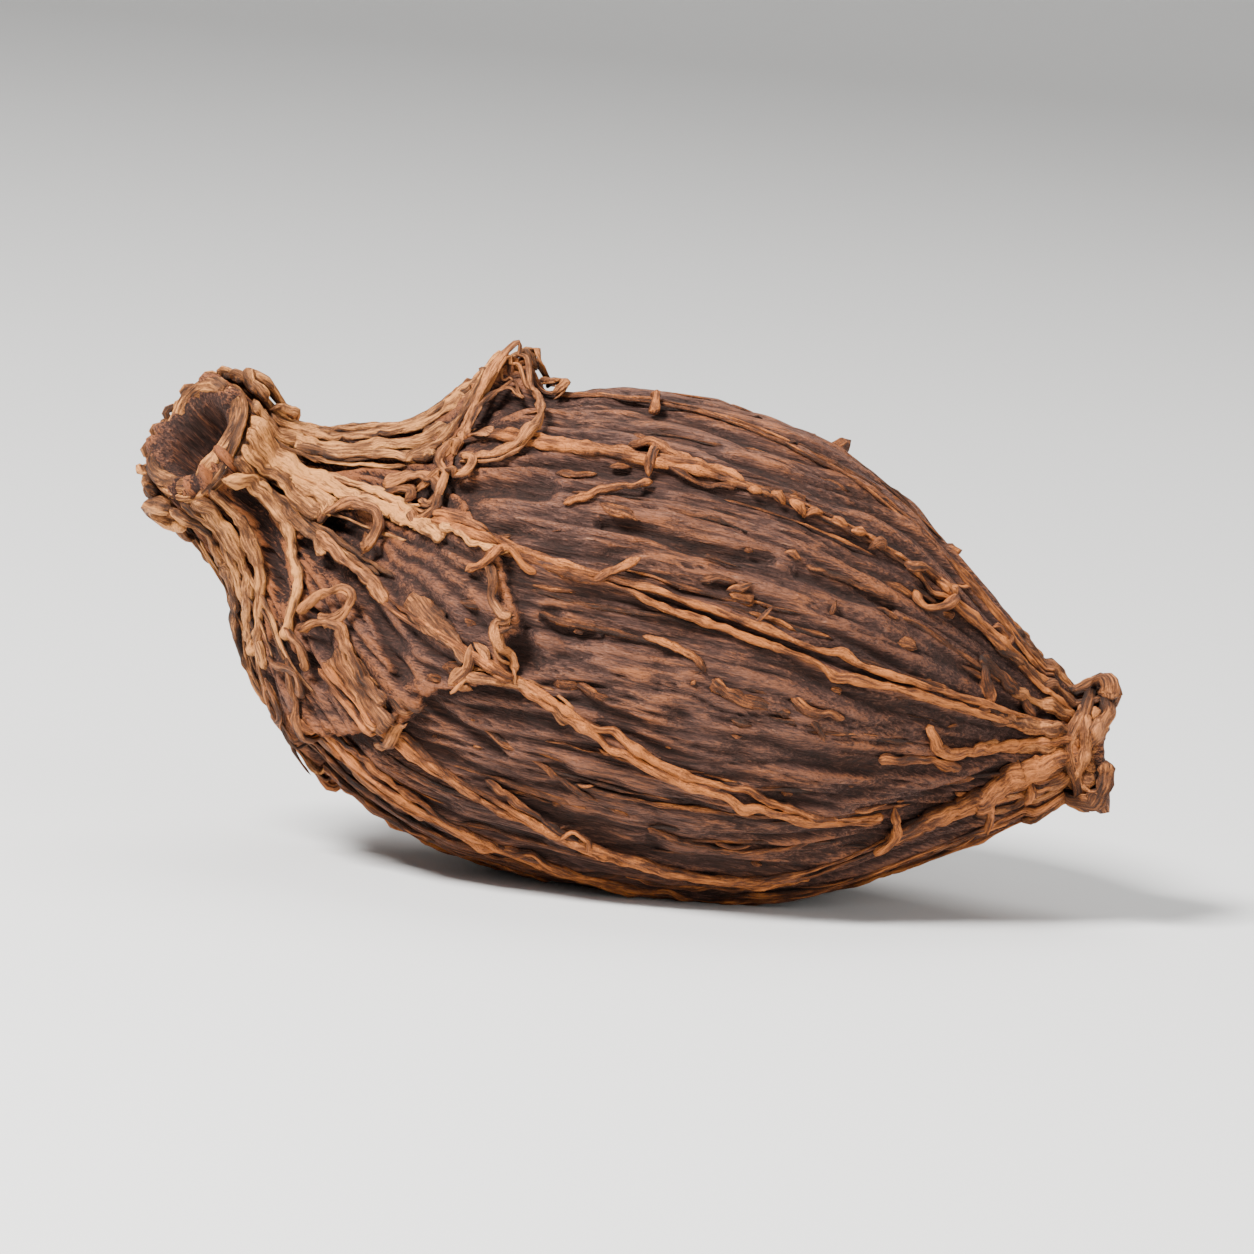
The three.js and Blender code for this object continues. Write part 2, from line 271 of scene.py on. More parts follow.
def layerAt(s, angle):
    # the torn layer curls up a little before it ends
    edge = layerEdgeAt(angle)
    curl = 0.2 * bell(s, edge - 0.12, 0.4)
    return (podForm["layerThickness"] + curl) * (1 - smoothStep(s, edge, edge + 0.2)) + strapAt(s, angle)


def strapAt(s, angle):
    # a torn strap of that layer stands off the top of the shoulder
    strap = podForm["strap"]
    apart = np.abs((np.degrees(angle) - strap["degrees"] + 180) % 360 - 180)
    apart = apart + 3 * ringNoise(s, angle, 0.9, 3, 7)
    along = between(s, strap["rise"], strap["sink"])
    return strap["height"] * along * (1 - smoothStep(apart, *strap["half"]))


def railsAt(s):
    return between(s, podForm["rails"]["rise"], podForm["rails"]["sink"])


def ribNearness(s, angle, width):
    # 1 on the middle of a rib, falling to 0 over the width in millimetres
    near = 0
    for rib in ribs:
        apart = (angle - ribAngle(rib, s) + math.pi) % turn - math.pi
        near = np.maximum(near, bell(apart * skinRadius(s), 0, width))
    return near


# Torn hollows, slots and grooves: half width, depth and the places that each passes through,
# as distance from the mouth and degrees.
hollows = [
    (0.32, 0.52, [(1.5, 88), (2.7, 96), (3.9, 114), (4.7, 123)]),
    (0.1, 0.25, [(0.8, 40), (2.0, 42), (3.0, 42), (4.5, 35), (5.6, 32)]),
    (0.58, 0.6, [(4.6, 70), (5.2, 73), (5.9, 79)]),
    (0.34, 0.5, [(4.3, 90), (5.2, 91), (6.1, 90), (7.2, 94), (8.1, 99), (9.0, 106)]),
    (0.46, 0.5, [(6.1, 114), (6.4, 116)]),
    (0.4, 0.55, [(5.8, 141), (6.3, 138)]),
    (0.4, 0.55, [(6.5, 129), (6.8, 128)]),
    (0.34, 0.5, [(6.3, 160), (6.5, 160)]),
    (0.9, 0.4, [(8.8, 24), (9.4, 26)]),
    (0.45, 0.5, [(6.8, 50), (8.2, 53)]),
    (0.5, 0.35, [(7.6, 52), (8.8, 54), (10.2, 51), (11.4, 50)]),
    (0.5, 0.35, [(11.9, 86), (12.2, 90)]),
    (0.2, 0.34, [(13.8, 56), (14.9, 56), (16.3, 57), (17.6, 56), (18.6, 55)]),
    (0.15, 0.25, [(19.5, 56), (21.0, 57), (22.5, 55)]),
    (0.3, 0.25, [(12.7, 80), (13.4, 84), (14.2, 82)]),
    (0.2, 0.25, [(9.6, 109), (10.8, 112), (12.2, 116)]),
    (0.2, 0.28, [(25.2, 112), (26.2, 108), (27.2, 101)]),
    (0.18, 0.26, [(26.6, 67), (27.6, 66), (28.6, 60)]),
    (0.5, 0.4, [(5.2, 214), (6.2, 216)]),
    (0.35, 0.4, [(4.6, 250), (6.0, 247), (7.4, 252)]),
    (0.5, 0.4, [(5.6, 292), (6.4, 290)]),
    (0.4, 0.4, [(6.6, 322), (7.8, 326)]),
]


def hollowAt(s, angle):
    # how much of each hollow's depth is taken out of the skin
    depth = 0
    radius = skinRadius(s)
    frayed = ringNoise(s, angle, 0.7, 13, 23) + 0.6 * ringNoise(s, angle, 1.6, 24, 24)
    for half, deep, places in hollows:
        nearest = np.inf
        for (s0, a0), (s1, a1) in zip(places, places[1:]):
            x = ((angle - math.radians(a0) + math.pi) % turn - math.pi) * radius
            y = s - s0
            dx, dy = math.radians(a1 - a0) * radius, s1 - s0
            t = np.clip((x * dx + y * dy) / (dx * dx + dy * dy), 0, 1)
            nearest = np.minimum(nearest, np.hypot(x - t * dx, y - t * dy))
        nearest = nearest * (1 + 0.45 * frayed)
        depth = np.maximum(depth, deep * (1 - smoothStep(nearest, 0.3 * half, 1.45 * half)))
    return depth


def calmSkin(s, angle):
    # height of the skin without its wrinkles and hollows: it sinks along both sides of a rib
    narrow = ribNearness(s, angle, 0.38)
    swell = 0.45 * podForm["ribHeight"] * narrow - 0.16 * (ribNearness(s, angle, 0.85) - narrow)
    return dentAt(s, angle) + layerAt(s, angle) + swell * (0.3 + 0.7 * pastShoulder(s))


def asObject(name, bm, material):
    mesh = bpy.data.meshes.new(name)
    bm.to_mesh(mesh)
    bm.free()
    for face in mesh.polygons:
        face.use_smooth = True
    mesh.materials.append(material)
    made = bpy.data.objects.new(name, mesh)
    bpy.context.scene.collection.objects.link(made)
    print(name, len(mesh.polygons), "faces")
    return made


def finishPiece(name, bm, material):
    bmesh.ops.remove_doubles(bm, verts=bm.verts, dist=1e-5)
    bmesh.ops.recalc_face_normals(bm, faces=bm.faces)
    bmesh.ops.scale(bm, vec=(metre, metre, metre), verts=bm.verts)
    for v in bm.verts:
        v.co.z = max(v.co.z, 0.0)   # pressed flat where it lies on the table
    piece = asObject(name, bm, material)
    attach(piece, "root")
    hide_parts("pod")


class Wave:
    # a socket that shader maths is written with

    def __init__(self, nodes, socket):
        self.nodes = nodes
        self.socket = socket

    def maths(self, operation, first, second):
        return self.nodes.add("ShaderNodeMath", {"operation": operation}, {0: first, 1: second})

    def __add__(self, other):
        return self.maths("ADD", self, other)

    def __sub__(self, other):
        return self.maths("SUBTRACT", self, other)

    def __mul__(self, other):
        return self.maths("MULTIPLY", self, other)

    def __rsub__(self, other):
        return self.maths("SUBTRACT", other, self)

    __radd__ = __add__
    __rmul__ = __mul__


class Finish:
    # a new material with its nodes

    def __init__(self, name):
        self.material = bpy.data.materials.new(name)
        self.material.use_nodes = True
        self.tree = self.material.node_tree
        self.shader = self.tree.nodes["Principled BSDF"]

    def add(self, kind, settings=None, inputs=None, output=0):
        node = self.tree.nodes.new(kind)
        for key, value in (settings or {}).items():
            if key == "stops":
                self.setStops(node.color_ramp, value)
            else:
                setattr(node, key, value)
        for key, value in (inputs or {}).items():
            self.feed(node.inputs[key], value)
        return Wave(self, node.outputs[output])

    def feed(self, socket, value):
        if isinstance(value, Wave):
            self.tree.links.new(value.socket, socket)
        else:
            socket.default_value = value

    def setStops(self, ramp, stops):
        while len(ramp.elements) < len(stops):
            ramp.elements.new(0.5)
        for element, (place, colour) in zip(ramp.elements, stops):
            element.position = place
            element.color = (*colour, 1)

    def attribute(self, name, output="Fac"):
        return self.add("ShaderNodeAttribute", {"attribute_name": name}, output=output)

    def noise(self, vector, scale, detail, roughness):
        stretched = self.add("ShaderNodeVectorMath", {"operation": "MULTIPLY"}, {0: vector, 1: scale})
        inputs = {"Vector": stretched, "Scale": 1.0, "Detail": detail, "Roughness": roughness}
        return self.add("ShaderNodeTexNoise", {}, inputs, "Fac")

    def ramp(self, value, stops):
        return self.add("ShaderNodeValToRGB", {"stops": stops}, {"Fac": value}, "Color")

    def range(self, value, low, high, newLow=0.0, newHigh=1.0):
        inputs = {0: value, 1: low, 2: high, 3: newLow, 4: newHigh}
        return self.add("ShaderNodeMapRange", {"interpolation_type": "SMOOTHSTEP"}, inputs)

    def mix(self, factor, first, second):
        settings = {"data_type": "RGBA", "clamp_factor": True}
        return self.add("ShaderNodeMix", settings, {0: factor, 6: first, 7: second}, 2)

    def bump(self, height, strength, distance, normal=None):
        inputs = {"Height": height, "Strength": strength, "Distance": distance}
        if normal is not None:
            inputs["Normal"] = normal
        return self.add("ShaderNodeBump", {}, inputs, "Normal")

    def close(self, colour, roughness, normal, specular):
        self.feed(self.shader.inputs["Base Color"], colour)
        self.feed(self.shader.inputs["Roughness"], roughness)
        self.feed(self.shader.inputs["Normal"], normal)
        self.shader.inputs["Specular IOR Level"].default_value = specular
        return self.material


# Skin: purplish brown with fibres that run along the pod. The grain attribute is the place on the
# pod as if its centre line were straight, so that the pattern follows its bend.
skinLook = {
    # stops from the grooves, dark with painted shade, to the crests
    "brown": [
        (0.05, (0.0205, 0.0082, 0.005)), (0.33, (0.039, 0.0155, 0.0104)),
        (0.57, (0.065, 0.025, 0.0155)), (0.95, (0.175, 0.062, 0.029)),
    ],
    "warm": [
        (0.05, (0.0205, 0.0082, 0.005)), (0.36, (0.042, 0.0137, 0.0062)),
        (0.6, (0.1, 0.034, 0.0145)), (0.98, (0.33, 0.1, 0.0265)),
    ],
    "tan": (0.33, 0.1, 0.0265, 1),
    "dust": (0.3, 0.14, 0.08, 1),
}


def makeSkinFinish():
    f = Finish("driedSkin")
    grain = f.attribute("grain", "Vector")
    # the skin's colour level: lighter on crests, with painted shade in hollows, beside and under the ribs,
    # past the torn edge and inside the mouth
    crest = f.attribute("crest")
    tan = f.attribute("tan")
    fibres = f.noise(grain, (0.5, 6.0, 6.0), 4, 0.7)
    fine = f.noise(grain, (1.5, 16.0, 16.0), 3, 0.7)
    patches = f.noise(grain, (0.35, 0.6, 0.6), 3, 0.5)
    specks = f.noise(grain, (2.2, 6.0, 6.0), 2, 0.5)
    height = 0.8 * crest + 0.1 + (fibres - 0.5) * 1.5 + (fine - 0.5) * 1.6
    brown, warm = f.ramp(height, skinLook["brown"]), f.ramp(height, skinLook["warm"])
    body = f.mix(f.range(patches, 0.42, 0.64, 0.0, 0.65), brown, warm)
    tanned = f.mix(tan * f.range(height, 0.3, 0.8), body, skinLook["tan"])
    dust = f.range(specks, 0.64, 0.76, 0.0, 0.5) * f.range(height, 0.45, 0.7)
    roughness = f.range(height, 0.25, 0.8, 0.9, 0.5)
    normal = f.bump(fine, 0.7, 0.00012, f.bump(fibres, 0.8, 0.0003))
    return f.close(f.mix(dust, tanned, skinLook["dust"]), roughness, normal, 0.3)


skinDetail = {
    "rows": 196,
    "columns": 486,
    # depth, and the level on the wrinkle that lies flush with the skin
    "wrinkles": {
        "fold": (0.12, 0.75), "pleat": (0.17, 0.75), "fibre": (0.17, 0.6), "pucker": (0.09, 0.0),
        "flute": (0.34, 1.15), "layerLine": (0.27, 0.8),
    },
    "raggedLip": 0.22,
    "railSlot": {"width": 0.12, "depth": 0.26},
}


def crease(s, angle, alongPace, aroundPace, seed, gain, power):
    # from 0 in a groove to 1 on a crest
    return np.clip(np.abs(ringNoise(s, angle, alongPace, aroundPace, seed)) * gain, 0, 1) ** power


def wrinklesAt(s, angle):
    bend = 0.06 * ringNoise(s, angle, 0.22, 2.2, 3) + 0.022 * ringNoise(s, angle, 0.7, 6, 4)
    bent = angle + bend
    fan = 30 * (bent - 0.05 * (s - 7)) + 2.4 * ringNoise(s, bent, 0.25, 6, 16)
    return {
        "fold": crease(s, bent, 0.1, 5.2, 11, 2.2, 0.6),
        "pleat": crease(s, bent, 0.17, 13, 12, 2.4, 0.6),
        "fibre": crease(s, bent, 0.32, 26, 13, 2.6, 0.7),
        "pucker": ringNoise(s, bent, 1.1, 9, 14),
        "flute": crease(s, angle + 0.1 * ringNoise(s, angle, 0.5, 1.5, 22), 0.2, 6.5, 21, 2.6, 0.7),
        # lines on the torn layer fan out from the flower tube
        "layerLine": np.abs(np.sin(fan)) ** 0.6,
    }


def skinRows():
    # stations along the skin as s, radius, share of the body's relief, and raggedness of the lip
    form = podForm
    cup, mouth, lip = form["cupDepth"], form["mouthRadius"], form["lipRadius"]
    tube = [
        (cup, 0, 0, 0), (0.96 * cup, 0.5 * mouth, 0, 0), (0.7 * cup, 0.85 * mouth, 0, 0.2),
        (0.4 * cup, 0.95 * mouth, 0, 0.3), (0.15 * cup, mouth, 0, 0.5), (0.02 * cup, 1.15 * mouth, 0, 0.8),
        (-0.05 * cup, 0.72 * lip, 0, 1), (-0.02 * cup, 0.84 * lip, 0.1, 1),
        (0.08 * cup, 0.92 * lip, 0.2, 0.9), (0.2 * cup, 0.93 * lip, 0.3, 0.6),
        (0.4 * cup, 0.9 * lip, 0.5, 0.3), (0.62 * cup, form["neckRadius"], 0.7, 0),
    ]
    end, collar, neck = podLength, form["collarRadius"], form["collarNeckRadius"]
    tip = [
        (end - 1.25, neck, 0.6, 0), (end - 0.9, 1.03 * neck, 0.6, 0.1), (end - 0.6, 0.9 * collar, 0.5, 0.3),
        (end - 0.3, 0.95 * collar, 0.4, 0.4), (end - 0.1, 0.9 * collar, 0.2, 0.4),
        (end - 0.05, 0.75 * collar, 0.1, 0.4), (end - 0.3, 0.6 * collar, 0, 0.2),
        (end - 0.7, 0.45 * collar, 0, 0.1), (end - form["recessDepth"], 0, 0, 0),
    ]
    body = skinDetail["rows"] + 1 - len(tube) - len(tip)
    along = np.linspace(form["outline"][0][0] * podLength, 0.955 * podLength, body)
    return np.array([*tube, *((s, float(skinRadius(s)), 1, 0) for s in along), *tip])


def blurred(field, rows, columns):
    # mean over a patch of the grid, closing up round the pod
    ring = field[:, :-1]
    total = sum(np.roll(ring, k, axis=1) for k in range(-columns, columns + 1)) / (2 * columns + 1)
    padded = np.pad(total, ((rows, rows), (0, 0)), mode="edge")
    total = sum(padded[k:k + len(field)] for k in range(2 * rows + 1)) / (2 * rows + 1)
    return np.concatenate([total, total[:, :1]], axis=1)


def shapeSkin():
    # where the skin's grid lies, and what its finish reads there
    s, radius, relief, lip = (a[:, None] for a in skinRows().T)
    s, angle = np.broadcast_arrays(s, np.linspace(0, turn, skinDetail["columns"] + 1)[None, :])
    wrinkles = wrinklesAt(s, angle)
    ragged = ringNoise(0.5 * s, angle, 0.8, 4, 8) + 0.6 * ringNoise(s, angle, 1, 10, 9)
    pastEdge = s - layerEdgeAt(angle)
    onLayer = relief * smoothStep(s, 3.6, 5.2) * (1 - smoothStep(pastEdge, -0.3, 0))
    share = relief * np.clip(radius / 5.0, 0.25, 1) * (1 - 0.5 * onLayer)
    tube = relief * (1 - smoothStep(s, 0.1 * podLength, 0.26 * podLength))
    where = {"fold": share * (0.3 + 0.7 * pastShoulder(s)), "flute": tube, "layerLine": onLayer}
    torn = hollowAt(s, angle)
    height = relief * (calmSkin(s, angle) - torn) + skinDetail["raggedLip"] * lip * ragged
    for name, (depth, level) in skinDetail["wrinkles"].items():
        height = height + where.get(name, share) * depth * (wrinkles[name] - level)
    slot = skinDetail["railSlot"]
    apart = (angle - ribAngle(ribs[podForm["rails"]["rib"]], s)) * radius
    height = height - slot["depth"] * relief * railsAt(s) * bell(apart, 0, slot["width"])
    # the colour level is lighter on crests that stand over the skin around them, with painted shade in
    # hollows, beside and under the ribs, and a painted shadow just past the torn edge
    cavity = height - blurred(height, 3, 5)
    wide = np.clip(height - blurred(height, 9, 14), -0.2, 0.12)
    flank = ribNearness(s, angle, 0.8) - ribNearness(s, angle, 0.42)
    shade = 0.4 * torn + 0.3 * ribNearness(s, angle, 0.2) + 0.32 * flank * pastShoulder(s)
    shade = shade + 0.3 * relief * bell(pastEdge, 0.32, 0.26)
    crest = np.clip(0.56 + 3.1 * cavity + 0.8 * wide - shade, 0.14, 0.95)
    # the inside of the mouth is given painted shade, and no tan
    inside = radius < 1.2 * podForm["mouthRadius"]
    crest = np.where(inside & (s < 3), 0.3 + 0.2 * ragged, crest)
    # both ends, the torn edge and the strap are tan
    ends = 1 - between(s, (0.12 * podLength, 0.24 * podLength), (0.91 * podLength, 0.98 * podLength))
    edges = bell(pastEdge, -0.12, 0.16) + 0.8 * strapAt(s, angle)
    tan = np.clip(0.8 * ends + 0.75 * edges, 0, 1) * (1 - 0.8 * inside)
    shown = np.maximum(radius + height, 0) * (radius > 0)
    points = podPoint(s - 0.25 * lip * ragged, angle, shown)
    grain = np.stack([s, shown * np.cos(angle), shown * np.sin(angle)], axis=-1)
    return points, grain, crest, tan


def makeSkin(material):
    rows, columns = skinDetail["rows"], skinDetail["columns"]
    points, grain, crest, tan = shapeSkin()
    bm = bmesh.new()
    grainLayer = bm.verts.layers.float_vector.new("grain")
    crestAndShadeLayer = bm.verts.layers.float.new("crest")
    tanLayer = bm.verts.layers.float.new("tan")
    for v in bmesh.ops.create_grid(bm, x_segments=rows, y_segments=columns, size=0.5)["verts"]:
        place = round((v.co.x + 0.5) * rows), round((v.co.y + 0.5) * columns)
        v.co = points[place]
        v[grainLayer] = grain[place]
        v[crestAndShadeLayer] = crest[place]
        v[tanLayer] = tan[place]
    finishPiece("podSkin", bm, material)


# Cords, strands and fibres are all rolled from grids. Each station has a centre, a half width
# across the skin and a half thickness out of it.
def rollStrand(bm, centre, outwards, width, thick, sides, tone, drawn):
    grid = bmesh.ops.create_grid(bm, x_segments=len(centre) - 1, y_segments=sides, size=0.5)["verts"]
    place = np.array([v.co for v in grid])
    row = np.rint((place[:, 0] + 0.5) * (len(centre) - 1)).astype(int)
    around = np.rint((place[:, 1] + 0.5) * sides) % sides * turn / sides
    step = np.gradient(centre, axis=0)
    across = unit(np.cross(step, outwards))
    out = unit(np.cross(across, step))
    width, thick = (np.broadcast_to(np.asarray(a, float), len(centre)).copy() for a in (width, thick))
    for edge in (0, -1):
        width[edge] = thick[edge] = 0
    lengths = runAlong(centre) + 37.3 * drawn
    # dried fibres are grooved along their length, with painted shade in the grooves and on their undersides
    grooved = softNoise(0.9 * lengths[row], 2.1 * np.cos(around), 2.1 * np.sin(around), 91)
    rough = softNoise(3.4 * lengths[row], 1.6 * np.cos(around), 1.6 * np.sin(around), 92)
    shrunk = 1 + 0.24 * grooved + 0.19 * rough
    sideways, outward = np.cos(around) * width[row] * shrunk, np.sin(around) * thick[row] * shrunk
    points = centre[row] + sideways[:, None] * across[row] + outward[:, None] * out[row]
    tone = np.broadcast_to(np.asarray(tone, float), len(centre))[row]
    tone = tone - 0.34 * smoothStep(-np.sin(around), -0.45, 0.5) + 0.22 * grooved + 0.14 * rough
    grainLayer = bm.verts.layers.float_vector["grain"]
    toneLayer = bm.verts.layers.float["tone"]
    for k, v in enumerate(grid):
        v.co = points[k]
        v[grainLayer] = (lengths[row[k]], sideways[k], outward[k])
        v[toneLayer] = tone[k]


def openStrands():
    bm = bmesh.new()
    bm.verts.layers.float_vector.new("grain")
    bm.verts.layers.float.new("tone")
    return bm


def outwardsAt(s, angle):
    return unit(podPoint(s, angle, 1) - podPoint(s, angle, 0))


def onSkin(s, angle, lift):
    return podPoint(s, angle, skinRadius(s) + calmSkin(s, angle) + lift)


def filled(places):
    # the height over the skin is 0.15 where it's left out
    return [place if len(place) == 3 else (*place, 0.15) for place in places]


def layStrand(bm, places, width, thick, tone, drawn, knob=0.35, spacing=0.11, sides=8):
    # a strand through places given as distance from the mouth, degrees and height over the skin
    places = np.array(filled(places), float)
    reach = runAlong(podPoint(places[:, 0], np.radians(places[:, 1]), skinRadius(places[:, 0])))
    t = np.linspace(0, reach[-1], max(5, int(reach[-1] / spacing)))
    s, degrees, lift = (hermite(reach, places[:, k], t) for k in range(3))
    angle = np.radians(degrees)
    share = t / t[-1]
    ends = np.minimum(t, t[-1] - t)
    uneven = 1 + 0.3 * softNoise(1.9 * t, drawn, 0, 61) + 0.22 * softNoise(4.7 * t, drawn, 0, 62)
    bead = knob * bell(t, t[-1] - 0.16, 0.2)
    # short flakes taper all the way, long strands only near their ends
    closing = np.clip(ends / max(0.16, 0.45 - 0.1 * t[-1]), 0.2, 1) ** 0.7
    size = uneven * closing * (1 - 0.15 * share) * (1 + bead)
    wander = 0.06 * softNoise(1.4 * t, drawn, 1, 63) + 0.05 * softNoise(3.6 * t, drawn, 4, 66)
    wiggle = wander * min(1, width / 0.13) / np.maximum(skinRadius(s), 1.2)
    rise = lift + 0.04 * softNoise(1.7 * t, drawn, 2, 64)
    path = onSkin(s, angle + wiggle, rise)
    shade = tone + 0.2 * softNoise(0.9 * t, drawn, 3, 65) + 0.25 * bead
    rollStrand(bm, path, outwardsAt(s, angle), width * size, thick * size, sides, shade, drawn)


def layAll(bm, strands, drawn, wide=1, stout=1):
    # strands from a table of half width, half thickness, tone and places
    for k, (width, thick, tone, places) in enumerate(strands):
        layStrand(bm, places, wide * width, stout * thick, tone, drawn + k)


# Colours of the strands: where they're rooted in dirt and where painted shade falls under them, plain and
# bright.
strandLook = {
    "root": (0.03, 0.0115, 0.0056),
    "ribTan": [(0.19, 0.055, 0.0135), (0.62, 0.195, 0.044)],
    "tornBrown": [(0.19, 0.06, 0.016), (0.62, 0.22, 0.06)],
    "crownGold": [(0.25, 0.086, 0.024), (0.84, 0.34, 0.095)],
}


def makeStrandFinish(name):
    f = Finish(name)
    plain, bright = strandLook[name]
    grain = f.attribute("grain", "Vector")
    tone = f.attribute("tone")
    fibres = f.noise(grain, (1.1, 12.0, 12.0), 4, 0.65)
    mottle = f.noise(grain, (1.2, 2.5, 2.5), 3, 0.6)
    level = tone + (fibres - 0.5) * 2.0 + (mottle - 0.5) * 0.9
    dullAndShaded = tuple(0.38 * c for c in plain)
    # the two darkest stops also carry the painted shade on the strands' undersides and in their grooves
    colour = f.ramp(level, [(0.0, strandLook["root"]), (0.3, dullAndShaded), (0.56, plain), (0.95, bright)])
    roughness = f.range(mottle, 0.3, 0.7, 0.78, 0.52)
    grit = f.noise(grain, (7.0, 18.0, 18.0), 3, 0.7)
    normal = f.bump(grit, 0.8, 0.00012, f.bump(fibres, 1.0, 0.00025))
    return f.close(colour, roughness, normal, 0.3)


ribCords = {
    "spacing": 0.13,
    "sides": 8,
    "radius": 0.145,
    "stoutness": (0.85, 1.1, 1.0, 0.92, 1.0, 0.9, 1.0, 1.1, 0.95, 1.15, 0.9),
    "lumps": (0.5, 1.1, 0.5, 0.8, 0.6, 0.6, 0.8, 0.6, 0.8, 0.6, 0.7),
    "beadSpacing": (0.5, 2.4),
    # how far the two strands of each cord part, and where
    "slots": (0.06, 0.08, 0.05, 0.02, 0.06, 0.08, 0.07, 0.06, 0.08, 0.06, 0.07),
    "eyelets": {1: [0.78], 2: [0.705], 3: [0.505, 0.65], 7: [0.56], 9: [0.7], 5: [0.45, 0.6]},
    "eyelet": {"reach": 0.36, "parting": 0.17},
    "rails": {"parting": 0.1, "tone": 0.14},
    "ends": {3: 24.1, 0: 28.5},
    "lowerRib": 3,
}


def makeRibCords(material):
    bm = openStrands()
    draw = makeDraw(515)
    for k, rib in enumerate(ribs):
        start = (0.2 + 0.07 * draw()) * podLength
        stop = ribCords["ends"].get(k, (0.955 + 0.015 * draw()) * podLength)
        s = np.arange(start, stop, ribCords["spacing"])
        angle = ribAngle(rib, s)
        radius = skinRadius(s)
        rails = railsAt(s) if k == podForm["rails"]["rib"] else np.zeros(len(s))
        parting = smoothStep(softNoise(0.16 * s, k, 0, 31), -0.25, 0.35) * ribCords["slots"][k]
        parting = np.maximum(parting, ribCords["rails"]["parting"] * rails)
        if k == ribCords["lowerRib"]:
            # it runs out downwards
            angle = angle + np.radians(11 * smoothStep(s, 21, 24.5) - 3.5 * bell(s, 19.5, 2))
        for share in ribCords["eyelets"].get(k, []):
            eyelet = bell(s, share * podLength, ribCords["eyelet"]["reach"])
            parting = parting + ribCords["eyelet"]["parting"] * eyelet
        broken = smoothStep(softNoise(0.35 * s, k, 0, 32), -0.7, -0.3)
        for side in (-1, 1):
            beads = np.zeros(len(s))
            place = start
            low, high = ribCords["beadSpacing"]
            while place < stop:
                place += low + draw() * (high - low)
                beads += (0.2 + 0.8 * draw()) * bell(s, place, 0.12 + 0.14 * draw())
            beads = beads * ribCords["lumps"][k]
            wiggle = 0.04 * softNoise(0.55 * s, k, side, 33) + 0.02 * softNoise(1.9 * s, k, side, 34)
            taper = (1 - 0.4 * smoothStep(s, 0.7 * podLength, 0.95 * podLength)) * (0.6 + 0.4 * broken)
            uneven = 0.9 + 0.25 * softNoise(1.3 * s, k, side, 35) + 0.15 * softNoise(3.7 * s, k, side, 38)
            size = ribCords["radius"] * ribCords["stoutness"][k] * taper * (uneven + 0.6 * beads)
            offset = side * (0.09 + parting) + wiggle
            lift = 0.04 + 0.35 * size + 0.03 * softNoise(1.3 * s, k, side, 36)
            path = onSkin(s, angle + offset / np.maximum(radius, 1.2), lift)
            tone = 0.74 + 0.2 * softNoise(0.6 * s, k, side, 37) + 0.25 * beads + 0.25 * (broken - 1)
            tone = tone + ribCords["rails"]["tone"] * rails
            rollStrand(bm, path, outwardsAt(s, angle), size, size, ribCords["sides"], tone, k + 0.5 * side)
    finishPiece("ribCords", bm, material)
